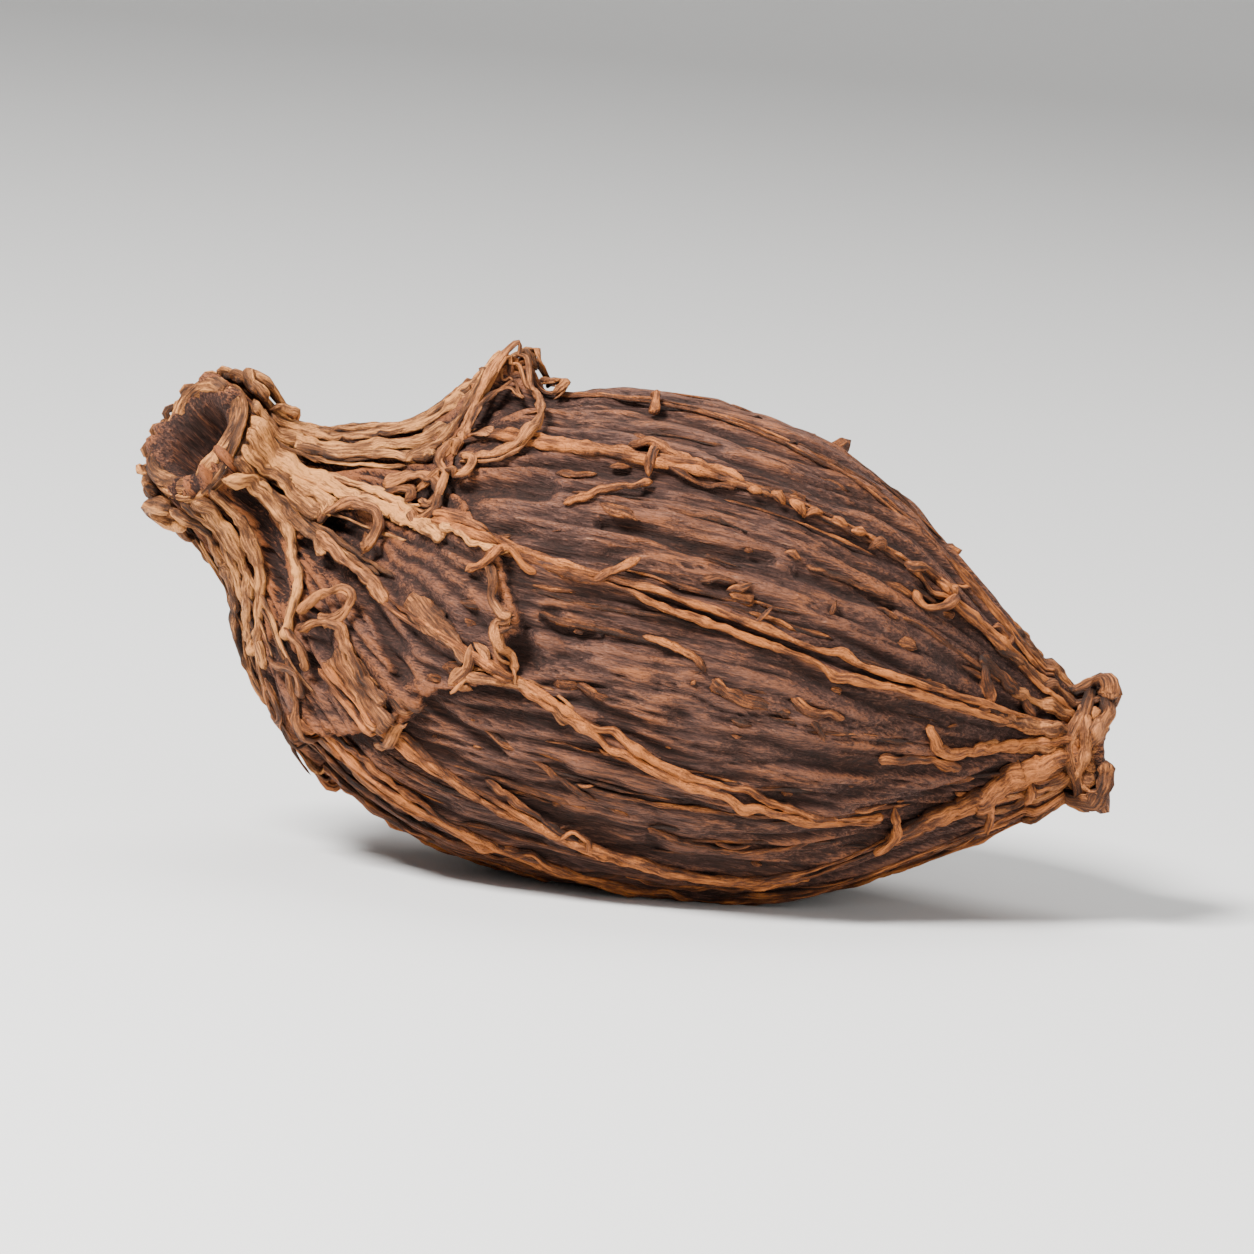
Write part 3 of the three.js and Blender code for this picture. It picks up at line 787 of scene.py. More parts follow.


# Branches, pegs, eyelets and flakes on the ribs and between them: half width, half thickness, tone, places.
ribBits = [
    (0.13, 0.12, 0.8, [(13.7, 71, 0.1), (14.3, 68, 0.2), (14.8, 65, 0.4), (15, 64, 0.5)]),
    (0.11, 0.1, 0.6, [(18.5, 73, 0.1), (18.8, 70, 0.25), (19.1, 67, 0.3)]),
    (0.16, 0.16, 0.6, [(14.5, 8, 0.1), (14.55, 13, 0.3), (14.6, 19, 0.25)]),
    (0.15, 0.14, 0.6, [(14.7, 31), (14.75, 35, 0.35), (14.7, 39, 0.3), (14.75, 42, 0.2)]),
    (0.26, 0.24, 0.55, [(19.7, 0, -0.3), (20, -3, 0.1), (20.2, -5, 0.35), (20.35, -6, 0.55)]),
    (0.15, 0.13, 0.85, [(9.9, 75, 0.1), (10.4, 72, 0.25), (10.9, 68, 0.4), (11.5, 70, 0.25), (12, 71, 0.12)]),
    (0.15, 0.13, 0.8, [(14, 32, 0.1), (14.7, 32, 0.25), (15.6, 36, 0.2), (16.7, 35), (17.5, 38, 0.1)]),
    (0.1, 0.1, 0.6, [(14.7, 38, 0.1), (15.5, 40, 0.18), (16.4, 41), (17.3, 40, 0.1)]),
    (0.2, 0.09, 0.45, [(26.4, 71, 0.08), (26.1, 64), (25.8, 56, 0.22)]),
    (0.2, 0.1, 0.35, [(25.6, 54), (26.5, 55), (27.3, 60, 0.1), (27.9, 66, 0.1)]),
    (0.19, 0.15, 0.75, [(24.5, 85, 0.2), (24.8, 90, 0.3), (25.1, 93, 0.25), (25.9, 92), (27.3, 86),
        (28.4, 82), (29.5, 80, 0.2)]),
    (0.17, 0.07, 0.5, [(23.3, 99, 0.05), (24.1, 98, 0.12), (24.9, 98, 0.1), (25.9, 101, 0.05)]),
    (0.16, 0.15, 0.7, [(24.2, 117, 0.1), (24.4, 123, 0.3), (24.5, 128, 0.35), (24.2, 132, 0.3),
        (24, 135, 0.2)]),
    (0.4, 0.26, 0.72, [(24.2, 131, 0.1), (25.2, 126, 0.2), (26, 121, 0.2), (26.7, 117, 0.25),
        (27.3, 110, 0.2), (28, 103, 0.2), (28.7, 96), (29.5, 92, 0.2)]),
    (0.16, 0.14, 0.65, [(26.7, 113, 0.3), (27, 121, 0.4), (27.1, 130, 0.5), (27.1, 140, 0.55)]),
    (0.14, 0.12, 0.6, [(28, 108, 0.2), (28.1, 120, 0.35), (28, 132, 0.4)]),
    (0.17, 0.16, 0.75, [(22.6, 41, 0.1), (22.9, 42, 0.3), (23.4, 39, 0.25), (24, 37, 0.2), (24.5, 38, 0.12)]),
    (0.14, 0.14, 0.7, [(24.5, 38), (24.4, 42, 0.25), (24.1, 47, 0.3), (23.7, 50, 0.3), (23.3, 49, 0.2),
        (23.1, 46, 0.1)]),
    (0.12, 0.12, 0.6, [(25.8, 38, 0.1), (26.1, 33, 0.25), (26.5, 33, 0.25), (26.6, 38, 0.2)]),
    (0.15, 0.11, 0.55, [(12.3, 54, 0.05), (13.2, 50, 0.12), (14.1, 47), (14.9, 44)]),
    (0.2, 0.06, 0.5, [(19, 53, 0.1), (19.3, 53, 0.18), (19.6, 53, 0.1)]),
    (0.1, 0.06, 0.35, [(19.7, 54, 0.05), (21.1, 54, 0.08), (22.6, 53, 0.05)]),
    (0.14, 0.08, 0.55, [(15.5, 80, 0.05), (16.5, 81, 0.1), (17.2, 82, 0.1), (17.6, 85, 0.1)]),
    (0.2, 0.09, 0.5, [(17.8, 86, 0.08), (18.5, 88, 0.1), (19.1, 89, 0.14), (20.4, 90, 0.05)]),
    (0.16, 0.09, 0.55, [(20.2, 86, 0.05), (21.1, 88, 0.14), (22, 88, 0.1)]),
    (0.12, 0.1, 0.55, [(20.8, 90, 0.05), (21.3, 92), (21.6, 95)]),
    (0.13, 0.06, 0.45, [(11.7, 45, 0), (12.5, 44, 0.06), (13.3, 43, 0)]),
    (0.15, 0.07, 0.5, [(13.5, 52, 0), (14.2, 53, 0.1), (14.8, 54, 0)]),
    (0.13, 0.08, 0.6, [(17.6, 66, 0.05), (18, 64), (18.4, 62, 0.1)]),
    (0.14, 0.07, 0.5, [(13.8, 94, 0), (14.5, 95, 0.1), (15.1, 96, 0)]),
    (0.16, 0.1, 0.6, [(20.75, 64, 0.05), (20.8, 62, 0.18), (20.85, 60, 0.1)]),
    (0.12, 0.12, 0.6, [(17.2, 88.5, 0.05), (17.3, 87.5, 0.16), (17.35, 86.5, 0.1)]),
    (0.11, 0.1, 0.6, [(14.2, 137, 0.1), (14.7, 133, 0.25), (15.3, 134, 0.25), (15.5, 138)]),
    (0.13, 0.12, 0.5, [(12, 126, 0.1), (13, 129), (14.4, 134, 0.12), (16.2, 138, 0.1)]),
    (0.16, 0.13, 0.5, [(8, 172), (9, 164), (10.5, 163, 0.12), (12.5, 164, 0.1), (14.5, 166, 0.08)]),
    (0.13, 0.12, 0.6, [(6.8, 146, 0.1), (8.2, 141), (9.6, 141, 0.12), (11.5, 145, 0.1), (13.8, 149, 0.05)]),
    (0.12, 0.1, 0.5, [(7.4, 158, 0.1), (9, 155, 0.12), (11, 156, 0.1), (13.4, 158, 0.06), (15.6, 159, 0)]),
    (0.13, 0.11, 0.6, [(8.9, 122, 0.1), (10.2, 124, 0.12), (12, 131, 0.1), (13.6, 136, 0.05)]),
    (0.1, 0.09, 0.5, [(11.2, 110, 0), (12.8, 114, 0.06), (14.6, 120, 0.06), (16.4, 125, 0)]),
    (0.12, 0.1, 0.55, [(16.6, 150, 0), (18.4, 152, 0.08), (20.6, 151, 0.08), (22.4, 147, 0)]),
    (0.11, 0.09, 0.45, [(17, 128, 0), (18.8, 131, 0.06), (20.6, 131, 0.06), (22, 128, 0)]),
]

# distance from the mouth and degrees of the knobs along the upper rib
ribKnobs = [(17.8, 40), (18.5, 39.5), (19.1, 40), (19.6, 40.5), (20.4, 40), (21, 40.5), (21.7, 41)]
flakeCount = 90


def makeRibBits(material):
    bm = openStrands()
    for k, (width, thick, tone, places) in enumerate(ribBits):
        layStrand(bm, places, width, thick, tone, 200 + k, knob=0.35 if thick > 0.1 else 0)
    draw = makeDraw(3300)
    for k, (s, degrees) in enumerate(ribKnobs):
        size, veer = 0.14 + 0.07 * draw(), 3 * (draw() - 0.5)
        places = [(s - 0.3, degrees - veer, 0.05), (s, degrees, 0.2), (s + 0.3, degrees + veer, 0.05)]
        layStrand(bm, places, size, 0.9 * size, 0.65 + 0.25 * draw(), 280 + k)
    draw = makeDraw(3301)
    for k in range(flakeCount):
        # small flakes and torn fibres elsewhere
        s, degrees = (0.3 + 0.6 * draw()) * podLength, 360 * draw()
        length, veer, lift = 0.3 + 0.9 * draw() ** 2, 2.4 * (draw() - 0.5), 0.04 + 0.1 * draw()
        middle = (s + 0.5 * length, degrees + veer, lift)
        places = [(s, degrees, 0), middle, (s + length, degrees + 1.6 * veer, 0.3 * lift)]
        width, thick, tone = 0.06 + 0.12 * draw(), 0.03 + 0.04 * draw(), 0.3 + 0.3 * draw()
        layStrand(bm, places, width, thick, tone, 300 + k, knob=0, sides=6)
    finishPiece("ribBits", bm, material)


minorFibres = {"count": 190, "spacing": 0.28, "sides": 5}


def makeMinorFibres(material):
    bm = openStrands()
    draw = makeDraw(808)
    for k in range(minorFibres["count"]):
        start = (0.24 + 0.6 * draw()) * podLength
        length = 1.2 + 6 * draw() ** 2
        s = np.arange(start, min(start + length, 0.95 * podLength), minorFibres["spacing"])
        if len(s) < 5:
            continue
        base = turn * draw()
        angle = base + 0.02 * softNoise(0.3 * s, k, 0, 41) + 0.01 * softNoise(1.3 * s, k, 0, 42)
        ends = np.minimum(s - s[0], s[-1] - s) / length
        uneven = 1 + 0.5 * softNoise(1.9 * s, k, 1, 43)
        size = (0.035 + 0.06 * draw()) * (0.6 + 1.6 * np.minimum(ends, 0.25)) * uneven
        tone = 0.2 + 0.3 * draw() + 0.25 * softNoise(0.8 * s, k, 2, 44)
        path = onSkin(s, angle, 0.05 * softNoise(0.9 * s, k, 3, 45))
        rollStrand(bm, path, outwardsAt(s, angle), 1.4 * size, size, minorFibres["sides"], tone, k)
    finishPiece("minorFibres", bm, material)


# Strands that fan out from the lip: half width, half thickness, tone, places.
crownPlaced = [
    (0.2, 0.17, 0.5, [(0.3, 152), (1.9, 143, 0.12), (3.2, 156, 0.12), (4, 168, 0.2), (4.6, 179, 0.36),
        (5.3, 183, 0.32), (6, 181, 0.16), (6.9, 176, 0.12), (8.4, 173)]),
    (0.19, 0.17, 0.72, [(0.2, 120), (1, 118, 0.12), (2.1, 124, 0.12), (3.1, 132), (3.9, 143), (4.6, 158),
        (5.5, 166, 0.1)]),
    (0.17, 0.15, 0.6, [(0.2, 134), (1.6, 130, 0.1), (2.8, 140, 0.1), (4, 152, 0.1), (5.2, 166, 0.1)]),
    (0.18, 0.16, 0.65, [(0.2, 105), (1.7, 108, 0.12), (2.9, 115), (3.7, 126), (4.4, 140), (5, 150, 0.1),
        (5.9, 154, 0.1)]),
    (0.18, 0.16, 0.75, [(0.2, 92), (1.2, 80, 0.1), (2.2, 83, 0.12), (3.2, 88), (4, 99, 0.18),
        (4.7, 108, 0.2), (5.1, 120, 0.2), (5.6, 130)]),
    (0.2, 0.15, 0.6, [(0.1, 72), (1.1, 73, 0.1), (2.6, 78, 0.12), (3.9, 85, 0.18), (4.8, 88, 0.28)]),
    (0.26, 0.15, 0.8, [(0.1, 60), (1, 61, 0.1), (2.6, 66, 0.12), (3.6, 71, 0.18), (4.1, 76, 0.2)]),
    (0.24, 0.15, 0.85, [(0.1, 48), (1.2, 52, 0.1), (2.6, 57, 0.12), (3.6, 61, 0.2), (4.3, 64, 0.25)]),
    (0.27, 0.17, 0.9, [(0.1, 36), (1, 42, 0.12), (2.4, 49), (3.6, 54, 0.2), (4.9, 58, 0.22), (5.9, 60, 0.2),
        (7.3, 64, 0.22), (8.2, 66, 0.25), (8.8, 68, 0.25)]),
    (0.17, 0.14, 0.8, [(3.2, 46), (4.4, 50, 0.2), (5.4, 54, 0.2), (6.6, 58, 0.12)]),
    (0.16, 0.14, 0.8, [(8.4, 64), (9.2, 66, 0.2), (9.9, 68, 0.2), (10.7, 68, 0.25), (11.2, 67, 0.3)]),
    (0.3, 0.16, 0.75, [(0.1, 24), (1.1, 24, 0.1), (2.8, 22, 0.12), (4, 24, 0.18), (4.9, 24, 0.2), (5.7, 20),
        (6.6, 12, 0.1)]),
    (0.24, 0.14, 0.7, [(1, 12, 0.1), (2.6, 8, 0.12), (4.2, 10, 0.18), (5.4, 6), (6.8, 0, 0.1)]),
    (0.22, 0.14, 0.55, [(2.2, 30, 0.05), (3.4, 30), (4.8, 32, 0.22), (5.8, 34, 0.28), (6.3, 35, 0.3)]),
    (0.22, 0.15, 0.55, [(0.1, 4), (1, 0, 0.12), (3.1, -8, 0.12), (5, -9), (6.2, -7, 0.2), (7.7, -7, 0.3),
        (9, -4, 0.3), (10.3, -3, 0.35)]),
    (0.16, 0.13, 0.6, [(5.4, 36, 0.25), (6.3, 27, 0.4), (7.1, 12, 0.5), (7.8, 0, 0.5), (8.4, -7, 0.4)]),
]

# Torn loops, curls and knobs on the shoulder, in the same way.
crownTorn = [
    (0.15, 0.15, 0.55, [(4.1, 79, 0.1), (4.1, 70, 0.35), (4.5, 63, 0.5), (5.1, 62, 0.55), (5.6, 67, 0.55),
        (5.75, 74, 0.5), (5.6, 79, 0.45)]),
    (0.17, 0.15, 0.6, [(4.1, 81), (4.7, 84, 0.35), (5.3, 85, 0.4), (6, 84, 0.35), (6.7, 86, 0.2),
        (7.5, 89, 0.05)]),
    (0.14, 0.14, 0.6, [(5.4, 70, 0.3), (5.6, 74, 0.6), (5.6, 78, 0.7)]),
    (0.16, 0.15, 0.8, [(5.3, 116, 0.1), (5.3, 108, 0.4), (5.4, 99, 0.6), (5.8, 93, 0.7), (6.25, 94, 0.65),
        (6.3, 101, 0.5), (5.9, 110, 0.25)]),
    (0.17, 0.14, 0.65, [(5.6, 120), (5.9, 110, 0.35), (6.4, 105, 0.35), (7, 108, 0.3), (7.6, 112, 0.28),
        (8.2, 114, 0.28), (8.8, 115, 0.3)]),
    (0.42, 0.13, 0.6, [(6.8, 112, 0.1), (7.5, 116), (8.2, 118, 0.2), (8.9, 119, 0.3), (9.4, 121, 0.35)]),
    (0.15, 0.13, 0.75, [(9.5, 117, 0.35), (9.3, 121, 0.4), (9.2, 126, 0.35), (8.9, 132)]),
    (0.18, 0.15, 0.5, [(5.9, 132), (6.4, 137, 0.3), (7, 143, 0.2), (8, 149, 0.12), (9.2, 151, 0.1),
        (10.8, 150, 0.1)]),
    (0.16, 0.15, 0.5, [(5.6, 146, 0.1), (5.9, 138, 0.35), (6.3, 132, 0.4), (6.7, 134, 0.35),
        (6.8, 139, 0.2)]),
    (0.14, 0.13, 0.6, [(6, 154), (6.3, 151, 0.3), (6.7, 153, 0.3), (6.8, 159, 0.3), (6.5, 164, 0.2),
        (6.1, 160)]),
    (0.16, 0.15, 0.7, [(5, 130, 0.1), (5.4, 124, 0.4), (5.9, 121, 0.45), (6.3, 124, 0.35), (6.5, 129)]),
    (0.16, 0.14, 0.65, [(5.2, 48), (5.8, 45, 0.4), (6.5, 48, 0.6), (7.2, 53, 0.55), (7.6, 59, 0.4),
        (7.1, 62, 0.3), (6.4, 60, 0.3)]),
    (0.14, 0.13, 0.7, [(6.2, 50, 0.3), (6.7, 46, 0.6), (7.2, 48, 0.65), (7.4, 54, 0.55), (7, 57, 0.5),
        (6.5, 55, 0.45)]),
    (0.13, 0.13, 0.6, [(5.2, 54, 0.2), (5.7, 51, 0.45), (6.1, 53, 0.5), (6, 57, 0.4)]),
    (0.13, 0.13, 0.75, [(7.7, 36, 0.3), (7.5, 29, 0.5), (7.8, 18, 0.6), (8.5, 8, 0.65), (9.4, 6, 0.65),
        (10.2, 12, 0.6), (10.7, 22, 0.55), (10.8, 31, 0.5), (10.4, 39, 0.45), (9.7, 43, 0.4),
        (8.8, 43, 0.35), (8.1, 41, 0.3)]),
    (0.11, 0.1, 0.6, [(8, 34, 0.35), (8.1, 25, 0.5), (8.7, 15, 0.55), (9.5, 12, 0.5), (10.1, 19, 0.45)]),
    (0.14, 0.13, 0.8, [(7.6, 40, 0.3), (6.8, 35, 0.45), (6.5, 39, 0.5), (6.9, 45, 0.5), (7.7, 49, 0.5),
        (8.5, 50, 0.45), (8.9, 46, 0.4), (8.4, 42, 0.35)]),
    (0.35, 0.06, 0.9, [(8.3, 33, 0.1), (8.8, 34, 0.16), (9.4, 35, 0.1)]),
    (0.15, 0.14, 0.65, [(9.7, -6), (9.9, -3, 0.5), (10.3, -1, 0.7), (10.7, -3, 0.5), (10.7, -8, 0.3)]),
    (0.14, 0.14, 0.7, [(10.4, 4), (10.7, 2, 0.55), (11.1, 3, 0.6), (11.3, 8, 0.45), (11, 11, 0.3)]),
    (0.15, 0.14, 0.6, [(9.4, -12, 0.2), (9.9, -12, 0.5), (10.6, -14, 0.5), (11.1, -12, 0.3)]),
    (0.14, 0.12, 0.6, [(10.4, 72, 0.2), (10.8, 75, 0.35), (10.9, 79, 0.3), (11.3, 82, 0.35),
        (11.6, 81, 0.3)]),
    (0.15, 0.12, 0.65, [(11.6, 82, 0.3), (11.2, 85, 0.35), (11.4, 89, 0.3), (11.9, 91, 0.3),
        (12.1, 95, 0.25)]),
    (0.36, 0.1, 0.65, [(8.2, 85, 0.05), (9.2, 88, 0.1), (10.1, 91, 0.14), (10.8, 94, 0.2)]),
    (0.18, 0.12, 0.9, [(10.7, 91, 0.2), (10.8, 95, 0.3), (10.6, 99, 0.35), (10.4, 102, 0.3)]),
    (0.16, 0.13, 0.7, [(10.6, 99, 0.2), (11.4, 97, 0.2), (12.3, 97), (13.2, 99), (14, 102)]),
]

crownStrands = {
    # degrees of the side that faces away, and of the long dark slot that stays open
    "hidden": (186, 352),
    "slot": (82, 128),
    "count": 15,
    "thinCount": 90,
    "curlCount": 16,
    "splinterCount": 26,
}


def makeCrownStrands(material):
    bm = openStrands()
    layAll(bm, crownPlaced, 400, 1.1, 0.85)
    draw = makeDraw(1203)
    first, last = crownStrands["hidden"]
    for k in range(crownStrands["count"]):
        # the side that faces away has strands of the same kind
        degrees = first + (last - first) * (k + 0.6 * (draw() - 0.5)) / (crownStrands["count"] - 1)
        stop, drift, loose = 5 + 4.5 * draw(), 14 * (draw() - 0.5), 0.55 * draw() ** 2
        s = np.array([0.1, 1.0, 0.3 * stop + 0.6, 0.55 * stop, 0.78 * stop, stop])
        turned = degrees + drift * np.array([0, 0.1, 0.3, 0.6, 0.85, 1.1])
        lifts = 0.13 + np.array([0.03, 0, 0, 0.04, 0.3 * loose, loose])
        places = list(zip(s, turned, lifts))
        layStrand(bm, places, 0.17 + 0.12 * draw(), 0.15, 0.45 + 0.35 * draw(), 500 + k)
    for k in range(crownStrands["thinCount"]):
        # thin fibres between the strands
        degrees, start = 360 * draw(), 0.8 + 3.5 * draw()
        stop, drift = start + 1.5 + 4.5 * draw(), 6 * (draw() - 0.5)
        high, width, tone = 0.06 + 0.14 * draw(), 0.05 + 0.04 * draw(), 0.2 + 0.6 * draw()
        if crownStrands["slot"][0] < degrees < crownStrands["slot"][1]:
            continue
        middle = (0.5 * (start + stop), degrees + drift, high)
        places = [(start, degrees, 0.05), middle, (stop, degrees + 1.6 * drift, 0.05)]
        layStrand(bm, places, width, 0.05, tone, 620 + k, knob=0, spacing=0.2, sides=5)
    finishPiece("crownStrands", bm, material)


def makeTornCurls(material):
    bm = openStrands()
    layAll(bm, crownTorn, 420, 1.1, 0.6)
    draw = makeDraw(1205)
    for k, (_, _, tone, places) in enumerate(crownTorn):
        # a finer fibre has come away beside each
        aside, lower = 5 * (draw() - 0.5), 0.06 + 0.08 * draw()
        beside = [(s + 0.08, degrees + aside, max(0, lift - lower)) for s, degrees, lift in filled(places)]
        layStrand(bm, beside, 0.07, 0.06, tone - 0.1 + 0.3 * draw(), 460 + k, knob=0, sides=6)
    draw = makeDraw(1204)
    first, last = crownStrands["hidden"]
    for k in range(crownStrands["curlCount"]):
        # the side that faces away has torn curls too
        s, degrees = 4.6 + 5.2 * draw(), first + (last - first) * draw()
        size, side = 0.5 + 0.5 * draw(), 1 if draw() > 0.5 else -1
        sweep = side * math.degrees(size / float(skinRadius(s)))
        high = 0.3 + 0.3 * draw()
        hook = [(0, 0, 0.1 / high), (0.6, -0.4, 1), (1.3, 0.2, 1.2), (1.3, 1.1, 1), (0.6, 1.2, 0.7)]
        places = [(s + ahead * size, degrees + aside * sweep, up * high) for ahead, aside, up in hook]
        layStrand(bm, places, 0.14, 0.11, 0.45 + 0.35 * draw(), 600 + k)
    for k in range(crownStrands["splinterCount"]):
        # short splinters stand along the torn edge
        degrees = 360 * draw()
        s = float(layerEdgeAt(math.radians(degrees))) - 0.5 - 0.4 * draw()
        length, veer, high = 0.6 + 0.7 * draw(), 5 * (draw() - 0.5), 0.08 + 0.25 * draw()
        middle = (s + 0.6 * length, degrees + veer, high)
        places = [(s, degrees, 0), middle, (s + length, degrees + 2 * veer, 1.2 * high)]
        layStrand(bm, places, 0.08 + 0.08 * draw(), 0.06, 0.4 + 0.35 * draw(), 640 + k, knob=0.2, sides=6)
    finishPiece("tornCurls", bm, material)


# The mouth's thick ragged lip, and what curls over it.
lips = {
    # distance from the mouth, radius, thickness
    "rings": [(0.1, 1.62, 0.23), (0.4, 1.74, 0.21), (0.22, 1.84, 0.13)],
    "flakes": [
        (0.26, 0.16, 0.7, [(0.3, 4, 0.1), (0.1, -6, 0.35), (0.6, -10, 0.5), (1.3, -9, 0.5), (1.9, -7, 0.45),
            (2.2, -3, 0.3)]),
        (0.16, 0.14, 0.55, [(0.9, 8, 0.1), (1.3, 2, 0.4), (1.8, 2, 0.5), (2.1, 6, 0.35)]),
        (0.27, 0.26, 0.75, [(0.5, 150, 0.1), (0.2, 158, 0.3), (0.3, 170, 0.4), (0.8, 178, 0.38),
            (1.3, 172, 0.3), (1.3, 160, 0.28), (0.9, 152, 0.3)]),
        (0.2, 0.16, 0.6, [(1.2, 178, 0.1), (1.5, 170, 0.35), (1.9, 172, 0.35), (2.2, 176)]),
    ],
    "hiddenCount": 9,
}


def makeLips(material):
    bm = openStrands()
    draw = makeDraw(90)
    around = np.linspace(0, 1, 56)
    for ring, (s0, radius, size) in enumerate(lips["rings"]):
        angle = np.radians(-20 + 372 * around + 130 * ring)
        s = s0 + 0.14 * np.sin(turn * 3 * around + ring) + 0.12 * softNoise(9 * around, ring, 0, 71)
        path = podPoint(s, angle, radius + 0.14 * softNoise(7 * around, ring, 1, 72))
        thick = size * (1 + 0.35 * softNoise(16 * around, ring, 2, 73))
        tone = 0.72 + 0.3 * softNoise(12 * around, ring, 3, 74)
        rollStrand(bm, path, lineAt("along", np.clip(s, 0, None)), thick, thick, 9, tone, 700 + ring)
    layAll(bm, lips["flakes"], 710)
    for k in range(lips["hiddenCount"]):
        degrees = 200 + 150 * k / (lips["hiddenCount"] - 1) + 8 * draw()
        places = [(0.5, degrees, 0.1), (0.1, degrees + 3, 0.25), (0.3, degrees + 9, 0.3), (0.8, degrees + 10)]
        layStrand(bm, places, 0.16, 0.14, 0.6 + 0.2 * draw(), 720 + k)
    finishPiece("lips", bm, material)


# The ragged collar at the pointed end, with distances from the tip.
collarForm = {
    # distance, radius, thickness, first degree, sweep
    "rims": [
        (0.2, 1.75, 0.36, -36, 160), (0.24, 1.7, 0.34, 96, 138), (0.24, 1.7, 0.3, 222, 120),
        (0.62, 1.55, 0.3, -10, 330), (0.36, 1.2, 0.24, 20, 300),
    ],
    # the rim is drawn in between two lobes at the front
    "dip": {"depth": 0.45, "degrees": 85, "width": 26},
    "lobes": [
        (0.34, 0.16, 0.65, [(1.4, 22, 0.05), (0.95, 18, 0.2), (0.55, 18, 0.35), (0.15, 26, 0.35),
            (0.1, 44, 0.2)]),
        (0.36, 0.18, 0.6, [(1.3, 146, 0.05), (0.8, 140, 0.25), (0.3, 132, 0.35), (0.05, 112, 0.3),
            (0.1, 95)]),
        (0.22, 0.2, 0.75, [(1, 40, 0.1), (0.8, 58, 0.28), (0.75, 80, 0.32), (0.85, 102, 0.28),
            (1, 116, 0.1)]),
        (0.22, 0.16, 0.6, [(0.9, 116, 0.1), (0.55, 124, 0.3), (0.2, 118, 0.3)]),
    ],
    "strandCount": 22,
}


def makeCollar(material):
    bm = openStrands()
    draw = makeDraw(91)
    end = podLength
    around = np.linspace(0, 1, 52)
    front = collarForm["dip"]
    for ring, (toTip, radius, size, first, sweep) in enumerate(collarForm["rims"]):
        degrees = first + sweep * around
        dip = front["depth"] * bell(degrees, front["degrees"], front["width"])
        wavy = 0.18 * softNoise(3.1 * around, ring, 3, 79) + 0.1 * softNoise(9 * around, ring, 0, 75)
        flare = 0.22 * softNoise(3.4 * around, ring, 1, 76) + 0.09 * softNoise(11 * around, ring, 4, 80)
        s = end - toTip - dip + wavy
        path = podPoint(s, np.radians(degrees), radius + flare)
        thick = size * (1 + 0.4 * softNoise(12 * around, ring, 2, 77))
        tone = 0.44 + 0.35 * softNoise(9 * around, ring, 3, 78)
        rollStrand(bm, path, lineAt("along", np.clip(s, 0, end)), thick, 0.8 * thick, 8, tone, 740 + ring)
    for k, (width, thick, tone, places) in enumerate(collarForm["lobes"]):
        layStrand(bm, [(end - toTip, *rest) for toTip, *rest in places], width, thick, tone, 750 + k)
    for k in range(collarForm["strandCount"]):
        # strands that run up to the collar
        degrees, start = 16.4 * k + 8 * draw(), end - 2.2 - 2.6 * draw()
        middle = (0.5 * (start + end), degrees + 2, 0.05)
        places = [(start, degrees + 4, 0), middle, (end - 0.9, degrees, 0.02), (end - 0.35, degrees, 0.1)]
        layStrand(bm, places, 0.17 + 0.1 * draw(), 0.15, 0.45 + 0.3 * draw(), 760 + k)
    finishPiece("collar", bm, material)


warts = {"count": 30, "radius": 0.27, "small": 46}


def makeWarts(material):
    bm = openStrands()
    toneLayer = bm.verts.layers.float["tone"]
    grainLayer = bm.verts.layers.float_vector["grain"]
    draw = makeDraw(77)
    spots = []
    for _ in range(warts["count"]):
        s = (0.3 + 0.56 * draw()) * podLength
        angle = turn * draw()
        spots.append((s, angle, warts["radius"] * (0.75 + 0.5 * draw())))
    extra = makeDraw(78)
    for _ in range(warts["small"]):
        spots.append(((0.3 + 0.62 * extra()) * podLength, turn * extra(), 0.09 + 0.09 * extra()))
    for k, (s, angle, size) in enumerate(spots):
        # each is drawn out along the skin and ragged
        centre = onSkin(s, angle, 0.1 * size - 0.06)
        along, out = lineAt("along", s), outwardsAt(s, angle)
        axes = np.stack([1.35 * along, 0.75 * np.cross(out, along), 0.7 * out])
        made = bmesh.ops.create_icosphere(bm, subdivisions=2, radius=size)["verts"]
        shape = np.array([v.co for v in made])
        lumps = 0.3 * softNoise(*(shape.T / size * 1.6 + k), 81)
        bumpy = 1 + lumps + 0.2 * softNoise(*(shape.T / size * 3.4 + k), 82)
        for v, offset, swell in zip(made, shape, bumpy):
            v.co = centre + swell * offset @ axes
            # the tone follows the swell: painted shade in the dents, lighter on the bulges
            v[toneLayer] = 0.1 + 0.42 * swell
            v[grainLayer] = offset + 3 * k
    finishPiece("warts", bm, material)


skinFinish = makeSkinFinish()
ribFinish = makeStrandFinish("ribTan")
tornFinish = makeStrandFinish("tornBrown")
crownFinish = makeStrandFinish("crownGold")
print("materials made")

makeSkin(skinFinish)
makeRibCords(ribFinish)
makeRibBits(ribFinish)
makeMinorFibres(ribFinish)
makeCrownStrands(crownFinish)
makeTornCurls(tornFinish)
makeLips(crownFinish)
makeCollar(tornFinish)
makeWarts(ribFinish)


# Stage: a plain pale floor that curves up into a backdrop, soft studio light and the camera.
stage = {
    "floorWidth": 0.9,
    "floorFront": -0.5,
    "floorBack": 0.35,
    "bendRadius": 0.2,
    "wallHeight": 0.5,
    "floorColour": (0.74, 0.73, 0.71),
    "lights": [
        # name, place, size, watts
        ("key", (-0.12, -0.13, 0.2), 0.07, 2.25),
        ("fill", (0.2, -0.16, 0.1), 0.2, 0.36),
        ("top", (0.03, 0.1, 0.24), 0.2, 0.5),
    ],
    "worldColour": (0.95, 0.97, 1.0, 1),
    "worldStrength": 0.3,
}


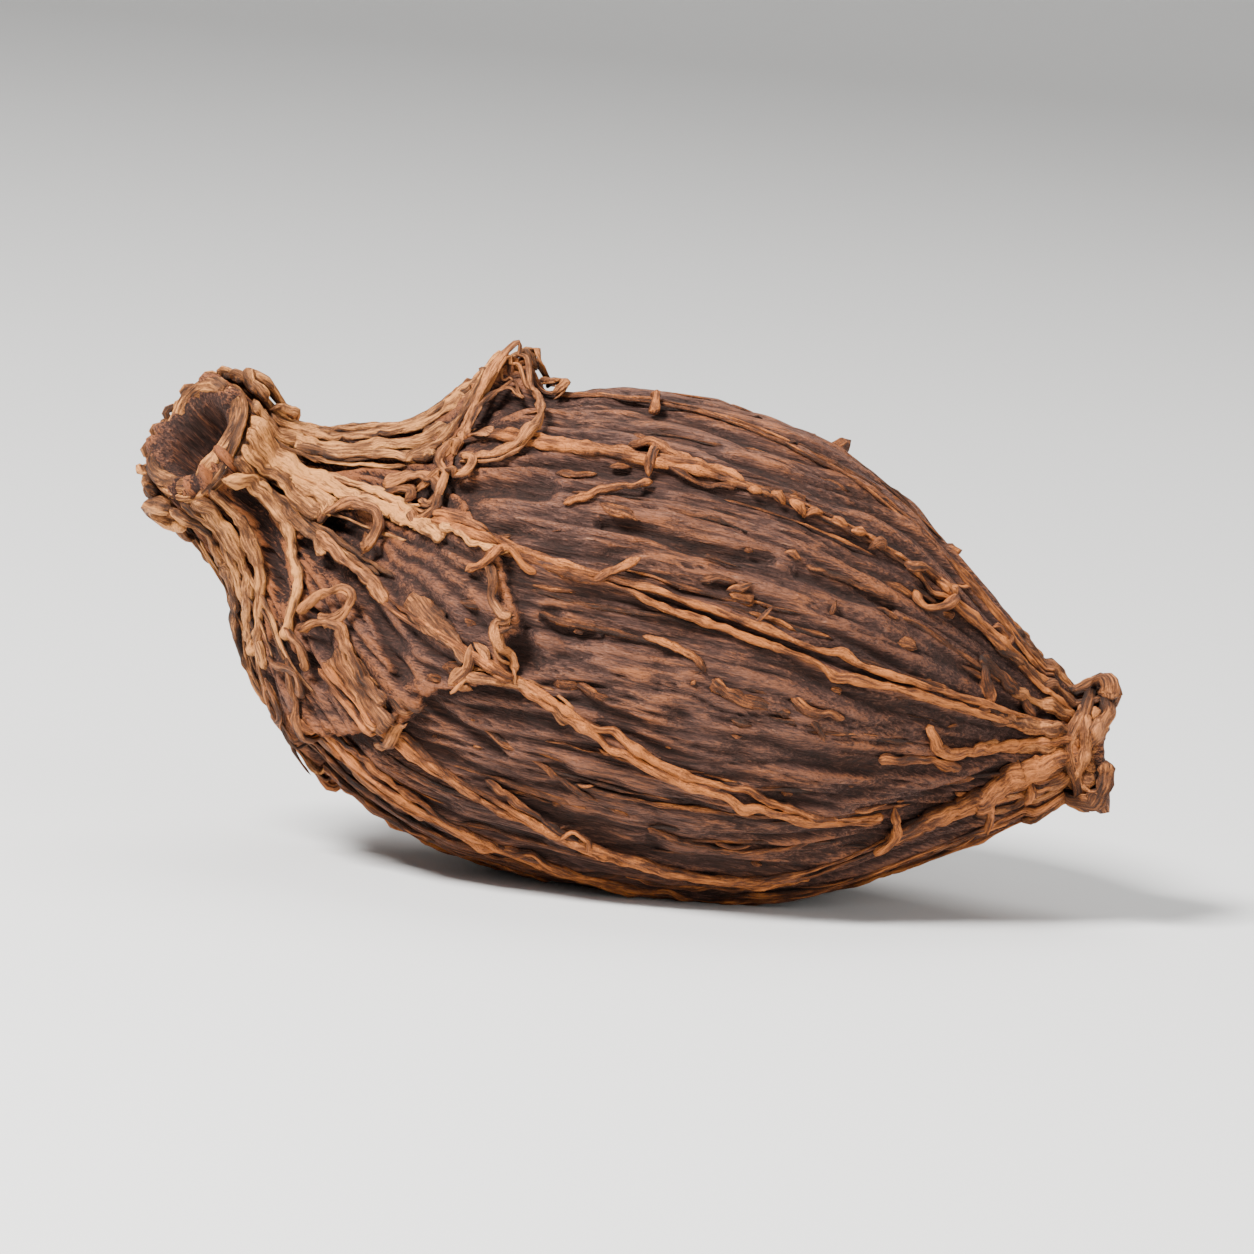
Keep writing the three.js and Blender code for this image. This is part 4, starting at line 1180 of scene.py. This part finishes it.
def pullEdges(bm, edges, by):
    # extrudes the edges, and returns the new ones
    out = bmesh.ops.extrude_edge_only(bm, edges=edges)["geom"]
    bmesh.ops.translate(bm, vec=by, verts=[v for v in out if isinstance(v, bmesh.types.BMVert)])
    return [e for e in out if isinstance(e, bmesh.types.BMEdge)]


def makeFloor():
    f = Finish("paleFloor")
    cloudy = f.noise(f.add("ShaderNodeTexCoord", output="Object"), (9.0, 9.0, 9.0), 2, 0.5)
    pale = stage["floorColour"]
    colour = f.mix(cloudy, (*pale, 1), (*(0.97 * c for c in pale), 1))
    material = f.close(colour, 0.85, f.bump(cloudy, 0.05, 0.0001), 0.2)
    bm = bmesh.new()
    half, front, back = stage["floorWidth"] / 2, stage["floorFront"], stage["floorBack"]
    edge = bm.edges.new([bm.verts.new((x, front, 0)) for x in (-half, half)])
    rim = pullEdges(bm, [edge], (0, back - front, 0))
    centre = (0, back, stage["bendRadius"])
    spun = bmesh.ops.spin(bm, geom=rim, cent=centre, axis=(1, 0, 0), angle=math.pi / 2, steps=24)
    rim = [e for e in spun["geom_last"] if isinstance(e, bmesh.types.BMEdge)]
    pullEdges(bm, rim, (0, 0, stage["wallHeight"]))
    floor = asObject("floor", bm, material)


def makeLights(target):
    for name, place, size, watts in stage["lights"]:
        data = bpy.data.lights.new(name, "AREA")
        data.size = size
        data.energy = watts
        light = bpy.data.objects.new(name, data)
        light.location = place
        light.rotation_euler = (target - Vector(place)).to_track_quat("-Z", "Y").to_euler()
        bpy.context.scene.collection.objects.link(light)
    world = bpy.data.worlds.new("studio")
    world.use_nodes = True
    glow = world.node_tree.nodes["Background"].inputs
    glow["Color"].default_value = stage["worldColour"]
    glow["Strength"].default_value = stage["worldStrength"]
    bpy.context.scene.world = world


view = {
    "elevation": 8.0,
    "roll": 5.0,        # the pod lies flatter here than against its neighbours
    "lens": 240.0,
    "podShare": 0.78,   # of the frame's width
}


def makeCamera(target):
    data = bpy.data.cameras.new("camera")
    data.lens = view["lens"]
    camera = bpy.data.objects.new("camera", data)
    bpy.context.scene.collection.objects.link(camera)
    width = (cadHigh - cadLow).x / view["podShare"]
    distance = width * data.lens / data.sensor_width
    tilt = math.radians(view["elevation"])
    back = Vector((0, -math.cos(tilt), math.sin(tilt)))
    camera.location = target + back * distance
    aim = (-back).to_track_quat("-Z", "Y").to_matrix().to_4x4()
    camera.rotation_euler = (aim @ Matrix.Rotation(math.radians(view["roll"]), 4, "Z")).to_euler()
    data.clip_start = 0.02
    data.clip_end = 5
    bpy.context.scene.camera = camera


podMiddle = (cadLow + cadHigh) / 2
makeFloor()
makeLights(podMiddle)
makeCamera(podMiddle)
print("stage, lights and camera made")
